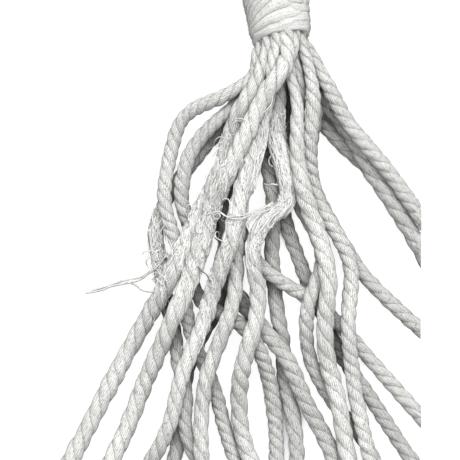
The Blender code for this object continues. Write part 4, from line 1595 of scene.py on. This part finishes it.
@dataclass
class Serving:
    """The winding round the neck: a soft many-yarn cord in turns that climb to the right.

    It is one closed surface whose relief is the turns of the cord. A turn lies in a tilted plane,
    so that seen from above it arches: at an angle round the neck it is raised by `slope` times the
    share to the right plus `arch` times the share upwards. Near the mouth the turns level out.
    Over part of it a later layer of flatter turns crosses the first.

    Attributes:
        neck: The neck that it is wound on.
        effects: The finishes.
        profile: Share of the way up from the mouth to outer radius in mm.
        pitch: Length that one turn takes up.
        thick: Height of a turn.
        slope: Rise to the right at the mouth and further up.
        arch: Rise on top at the mouth and further up.
        later_pitch: The same for the later layer, as are `later_slope` and `later_arch`.
        later_start: How far the later layer is shifted along the neck.
        later_place: How far it stands proud: by share to the right, everywhere, and at random.
        later_range: Least and most that it stands proud.
        edge: Place of the edge at the mouth in mm: everywhere, by share upwards and to the right.
        bore: Radius inside.
        lip: Radius of the rounded edges.
        lip_inside: How far the surface goes on inside the mouth.
        taper: How much thinner it is on top at the mouth.
        taper_for: Over what length.
        around: Corners round it.
        rings: Rings along it.
        yarns: Yarns in the width of a turn.
        sharp: Edges that turn more than this stay sharp.
        seed: Start of the random numbers.
    """

    neck: Neck
    effects: Effects
    profile: tuple = (
        (0.0, 14.3), (0.09, 14.9), (0.17, 15.5), (0.34, 15.6), (0.52, 16.0), (0.69, 16.6), (1.0, 16.9))
    pitch: float = 3.7 * MM
    thick: float = 0.75 * MM
    slope: tuple = (1.6 * MM, 8.0 * MM)
    arch: tuple = (4.8 * MM, 11.0 * MM)
    later_pitch: float = 4.2 * MM
    later_slope: tuple = (0.6 * MM, 2.4 * MM)
    later_arch: tuple = (4.8 * MM, 4.6 * MM)
    later_start: float = 1.2 * MM
    later_place: tuple = (1.25, -0.62, 0.5)
    later_range: tuple = (-1.5, 0.55)
    edge: tuple = (-1.0, 5.9, 0.8)
    bore: float = 13.3 * MM
    lip: float = 1.0 * MM
    lip_inside: float = 7.0 * MM
    taper: float = 1.2 * MM
    taper_for: float = 6.0 * MM
    around: int = 264
    rings: int = 176
    yarns: float = 3.6
    sharp: float = radians(75)
    seed: int = 7

    def outer(self, share: np.ndarray) -> np.ndarray:
        """Radius of the barrel, by share of the way up from the mouth."""
        shares, radii = zip(*self.profile)
        return np.interp(share, shares, radii) * MM

    def placed(self, angle: np.ndarray, radius: np.ndarray, along: np.ndarray) -> np.ndarray:
        """Places on the neck, raised to the surface where they would lie under it.

        Args:
            angle: Angle round the neck.
            radius: Distance from its axis.
            along: Length from its mouth.

        Returns:
            World points.
        """
        local = np.stack((radius * np.cos(angle), radius * np.sin(angle), along, np.ones_like(along)), -1)
        world = local @ np.array(self.neck.frame()).T
        points = world[..., :3]
        points[..., 2] = np.maximum(points[..., 2], 0.0)
        return points

    @staticmethod
    def uneven(rng: np.random.Generator, angle: np.ndarray, along: np.ndarray, reach: float) -> np.ndarray:
        """A smooth random wave over the barrel: seven sines, each whole turns round it, summed.

        Args:
            rng: Source of their turns, rises and phases.
            angle: Angle round the neck.
            along: Length from its mouth.
            reach: Typical distance from one crest to the next.

        Returns:
            Values of about -1 to 1.
        """
        total = np.zeros(np.broadcast(angle, along).shape)
        for _ in range(7):
            turns = rng.integers(1, max(2, round(95 * MM / reach)) + 1)
            rise = rng.uniform(-1, 1) * tau / reach
            total += np.sin(turns * angle + rise * along + rng.uniform(0, tau))
        return total / 2.6

    def turns(self, angle: np.ndarray, along: np.ndarray, pitch: float, slope: tuple,
              arch: tuple) -> np.ndarray:
        """How many turns of the cord lie below each point, whole at the line between two turns.

        Args:
            angle: Angle round the neck by column.
            along: Length from the mouth by ring and column.
            pitch: Length that one turn takes up.
            slope: Rise to the right at the mouth and further up.
            arch: Rise on top at the mouth and further up.

        Returns:
            Turns, by ring and column.
        """
        count = np.linspace(-6, 16, 441)
        share = smooth(count / 5.0)
        right, top = -np.cos(angle), np.maximum(np.sin(angle), 0.0)
        found = np.empty(along.shape)
        for column in range(along.shape[1]):
            rise = (slope[0] + (slope[1] - slope[0]) * share) * right[column]
            rise = rise + (arch[0] + (arch[1] - arch[0]) * share) * top[column]
            found[:, column] = np.interp(along[:, column], pitch * count + rise, count)
        return found - angle[None, :] / tau

    @staticmethod
    def cord(turns: np.ndarray) -> tuple[np.ndarray, np.ndarray]:
        """Height of a turn's rounded, overlapping section, and how near the line between two is.

        Args:
            turns: Turns below each point.

        Returns:
            Height from 0 to about 1, and nearness from 0 to 1.
        """
        share = turns - np.floor(turns)
        middle = np.abs(2 * share - 1)
        height = np.sqrt(np.maximum(1 - middle ** 2.6, 0.0)) * (0.86 + 0.28 * (1 - share))
        return height, middle ** 1.8

    def winding(self) -> Tubes:
        """The barrel: from inside the mouth, round its lip, over the outside and in at the top.

        The turns' height stands on the barrel's radius, and where the later layer is higher it
        covers the first.

        Returns:
            One tube, with its yarns counted along u.
        """
        rng = np.random.default_rng(self.seed)
        angle = tau * np.arange(self.around + 1) / self.around
        right, top = -np.cos(angle), np.maximum(np.sin(angle), 0.0)
        level, upward, aside = self.edge
        edge = (level + upward * top + aside * right) * MM
        edge = edge + 0.35 * MM * self.uneven(rng, angle, 0.0, 9 * MM)
        step = np.linspace(0, 1, self.rings)[:, None]
        along = edge[None, :] + (self.neck.length - edge[None, :]) * step
        drift = 0.55 * MM * self.uneven(rng, angle[None, :], along, 20 * MM)
        drift = drift + 0.25 * MM * self.uneven(rng, angle[None, :], along, 8 * MM)
        first = self.turns(angle, along + drift, self.pitch, self.slope, self.arch)
        drift = 0.5 * MM * self.uneven(rng, angle[None, :], along, 16 * MM)
        later = self.turns(angle, along + drift + self.later_start, self.later_pitch, self.later_slope,
                           self.later_arch)
        low, low_line = self.cord(first)
        high, high_line = self.cord(later)
        aside, level, patchy = self.later_place
        lead = right[None, :] * aside + level + patchy * self.uneven(rng, angle[None, :], along, 13 * MM)
        lead = np.clip(lead, *self.later_range)
        over = high + lead > low
        relief = np.where(over, high + lead, low)
        lines = np.where(over, high_line, low_line)
        nearly = np.exp(-((high + lead - low) / 0.10) ** 2)
        lines = np.maximum(lines, 0.7 * nearly)
        soft = 0.10 * self.uneven(rng, angle[None, :], along, 5 * MM)
        radius = self.outer(np.clip(along / self.neck.length, 0, 1)) + self.thick * (relief - 1 + soft)
        down = along - edge[None, :]
        radius = radius - self.taper * (1 - smooth(down / self.taper_for)) * top[None, :]
        for down in (down, self.neck.length - along):
            lip = np.clip(1 - down / self.lip, 0, 1)
            radius = radius - self.lip * (1 - np.sqrt(1 - lip ** 2))
        inner = np.full((1, self.around + 1), self.bore)
        deep = along[:1] + self.lip_inside
        high_inside = np.full_like(deep, self.neck.length - 1.5 * MM)
        radius = np.vstack((inner, inner, radius, inner, inner))
        along = np.vstack((deep, along[:1] + 0.6 * MM, along, along[-1:] - 0.4 * MM, high_inside))
        points = self.placed(np.broadcast_to(angle[None, :], along.shape), radius, along)
        count = np.where(over, later + 0.5, first)
        count = np.vstack((count[:1], count[:1], count, count[-1:], count[-1:]))
        v = np.broadcast_to(angle[None, :] * 16.0, along.shape)
        lines = np.vstack((lines[:1] + 1, lines[:1] + 1, lines, lines[-1:], lines[-1:]))[:, :-1]
        uv = np.stack((count * self.yarns, v), -1)
        # The groove mark paints shade along the lines between turns, where the layers meet, and inside the
        # mouth.
        return Tubes(points[None, :, :-1], uv[None], {"groove": np.clip(lines, 0, 1)[None]})

    def build(self) -> None:
        """Builds the winding in place of the plain barrel."""
        finish = Cotton("serving_cotton", clean=(0.70, 0.70, 0.68), dust=0.35, crevice=0.25,
                        relief=0.07 * MM)
        piece = self.winding().mesh_object(
            "serving_winding", [self.effects.laid(finish)], sharp=self.sharp)
        dress(piece, "serving")


@dataclass
class Studio:
    """A pale floor, soft light from the neck's side, and a camera straight above.

    Attributes:
        centre: Place that the camera stands over.
        view: Width that it sees at `focus_height`.
        camera_height: Its height above the floor.
        focus_height: Height of the middle of the bunch.
        sensor: Width of its sensor in mm.
        floor_size: Side of the floor.
        floor_drop: How far the floor lies under the bunch.
        floor_grey: How light the floor is for the light that it sends back.
        floor_white: How bright it looks in the open.
        crevice: Distance within which the ropes darken a gap of the floor, as painted shade in its glow.
        gap_open: Shares of open sky between which it goes from dark to white.
        sky: Strength of the sky.
        sky_slope: How much stronger it gets towards the neck's side.
        lamps: Name of each lamp to its place, size and power.
    """

    centre: tuple = (-7.3 * MM, -3.85 * MM)
    view: float = 230.0 * MM
    camera_height: float = 3.0
    focus_height: float = 12.0 * MM
    sensor: float = 36.0
    floor_size: float = 8.0
    floor_drop: float = 0.2 * MM
    floor_grey: float = 0.22
    floor_white: float = 0.90
    crevice: float = 9.0 * MM
    gap_open: tuple = (0.10, 0.34)
    sky: float = 0.52
    sky_slope: float = 0.47
    lamps: tuple = (("key", (0.35, 1.5, 1.9), 1.1, 49.0), ("fill", (-0.1, -0.2, 2.4), 1.2, 22.0))

    def camera(self) -> None:
        """The camera, high above, so that the ropes are seen almost without perspective."""
        data = bpy.data.cameras.new("camera")
        data.sensor_width = self.sensor
        data.lens = self.sensor * (self.camera_height - self.focus_height) / self.view
        data.clip_end = 20.0
        camera = bpy.data.objects.new("camera", data)
        camera.location = (*self.centre, self.camera_height)
        bpy.context.scene.collection.objects.link(camera)
        bpy.context.scene.camera = camera

    def lamp(self, name: str, place: tuple, size: float, power: float) -> None:
        """A square lamp that faces the middle of the bunch.

        Args:
            name: Its name.
            place: Where it hangs.
            size: Length of its side.
            power: Its power in watts.
        """
        data = bpy.data.lights.new(name, "AREA")
        data.shape = "SQUARE"
        data.size = size
        data.energy = power
        lamp = bpy.data.objects.new(name, data)
        lamp.location = place
        lamp.rotation_euler = (-Vector(place)).to_track_quat("-Z", "Y").to_euler()
        bpy.context.scene.collection.objects.link(lamp)

    def floor(self) -> None:
        """A large floor that looks white, with painted shade in its glow in narrow gaps, takes the shadow,
        and lights little.
        """
        half = self.floor_size / 2
        mesh = bpy.data.meshes.new("floor")
        mesh.from_pydata([(-half, -half, 0), (half, -half, 0), (half, half, 0), (-half, half, 0)], [],
                         [(0, 1, 2, 3)])
        floor = bpy.data.objects.new("floor", mesh)
        floor.location.z = -self.floor_drop
        bpy.context.scene.collection.objects.link(floor)
        material, tree, surface = Effects.start("floor")
        path = Effects.node(tree, "LightPath").outputs
        seen = Effects.math(tree, "MAXIMUM", path["Is Camera Ray"], Effects.math(
            tree, "MAXIMUM", path["Is Glossy Ray"], path["Is Transmission Ray"]))
        # Painted shade: the floor's glow dims where the ropes close it in.
        cover = Effects.node(tree, "AmbientOcclusion", {"Distance": self.crevice}, samples=24)
        strength = Effects.math(tree, "MULTIPLY", Effects.ramp(tree, cover.outputs["AO"], self.gap_open),
                                self.floor_white)
        Effects.feed(tree, surface, {
            "Base Color": (*[self.floor_grey] * 3, 1.0), "Roughness": 1.0, "Specular IOR Level": 0.0,
            "Emission Color": (1.0, 1.0, 1.0, 1.0),
            "Emission Strength": Effects.math(tree, "MULTIPLY", seen, strength)})
        mesh.materials.append(material)

    def world(self) -> None:
        """A dim sky, brighter towards the neck's side, which looks white."""
        world = bpy.data.worlds.new("world")
        world.use_nodes = True
        tree = world.node_tree
        seen = Effects.node(tree, "LightPath").outputs["Is Camera Ray"]
        heading = Effects.node(tree, "TexCoord").outputs["Generated"]
        ahead = Effects.node(tree, "SeparateXYZ", {0: heading}).outputs[1]
        brighter = Effects.math(tree, "MULTIPLY_ADD", ahead, self.sky_slope, self.sky)
        unseen = Effects.math(tree, "SUBTRACT", 1.0, seen)
        Effects.feed(tree, tree.nodes["Background"], {
            "Color": (1.0, 1.0, 1.0, 1.0),
            "Strength": Effects.math(tree, "MULTIPLY_ADD", brighter, unseen, seen)})
        bpy.context.scene.world = world

    def build(self) -> None:
        """Sets up everything but the bunch."""
        self.camera()
        self.floor()
        self.world()
        for lamp in self.lamps:
            self.lamp(*lamp)
        bpy.context.scene.view_settings.view_transform = "Standard"


def main() -> None:
    """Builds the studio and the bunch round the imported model."""
    logging.basicConfig(level=logging.INFO, format="%(message)s")
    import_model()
    Studio().build()
    neck = Neck()
    lie = Lie(neck)
    lie.lay_all()
    effects = Effects()
    ropes = LaidRopes(neck, lie, effects, Strands(Buried(lie.lines)))
    ropes.build()
    extras = FrayedYarns(lie, effects).build()
    LooseYarns(lie, effects).build(extras)
    Fuzz(lie, effects).build(extras)
    ropes.declare()
    Serving(neck, effects).build()


if __name__ == "__main__":
    main()
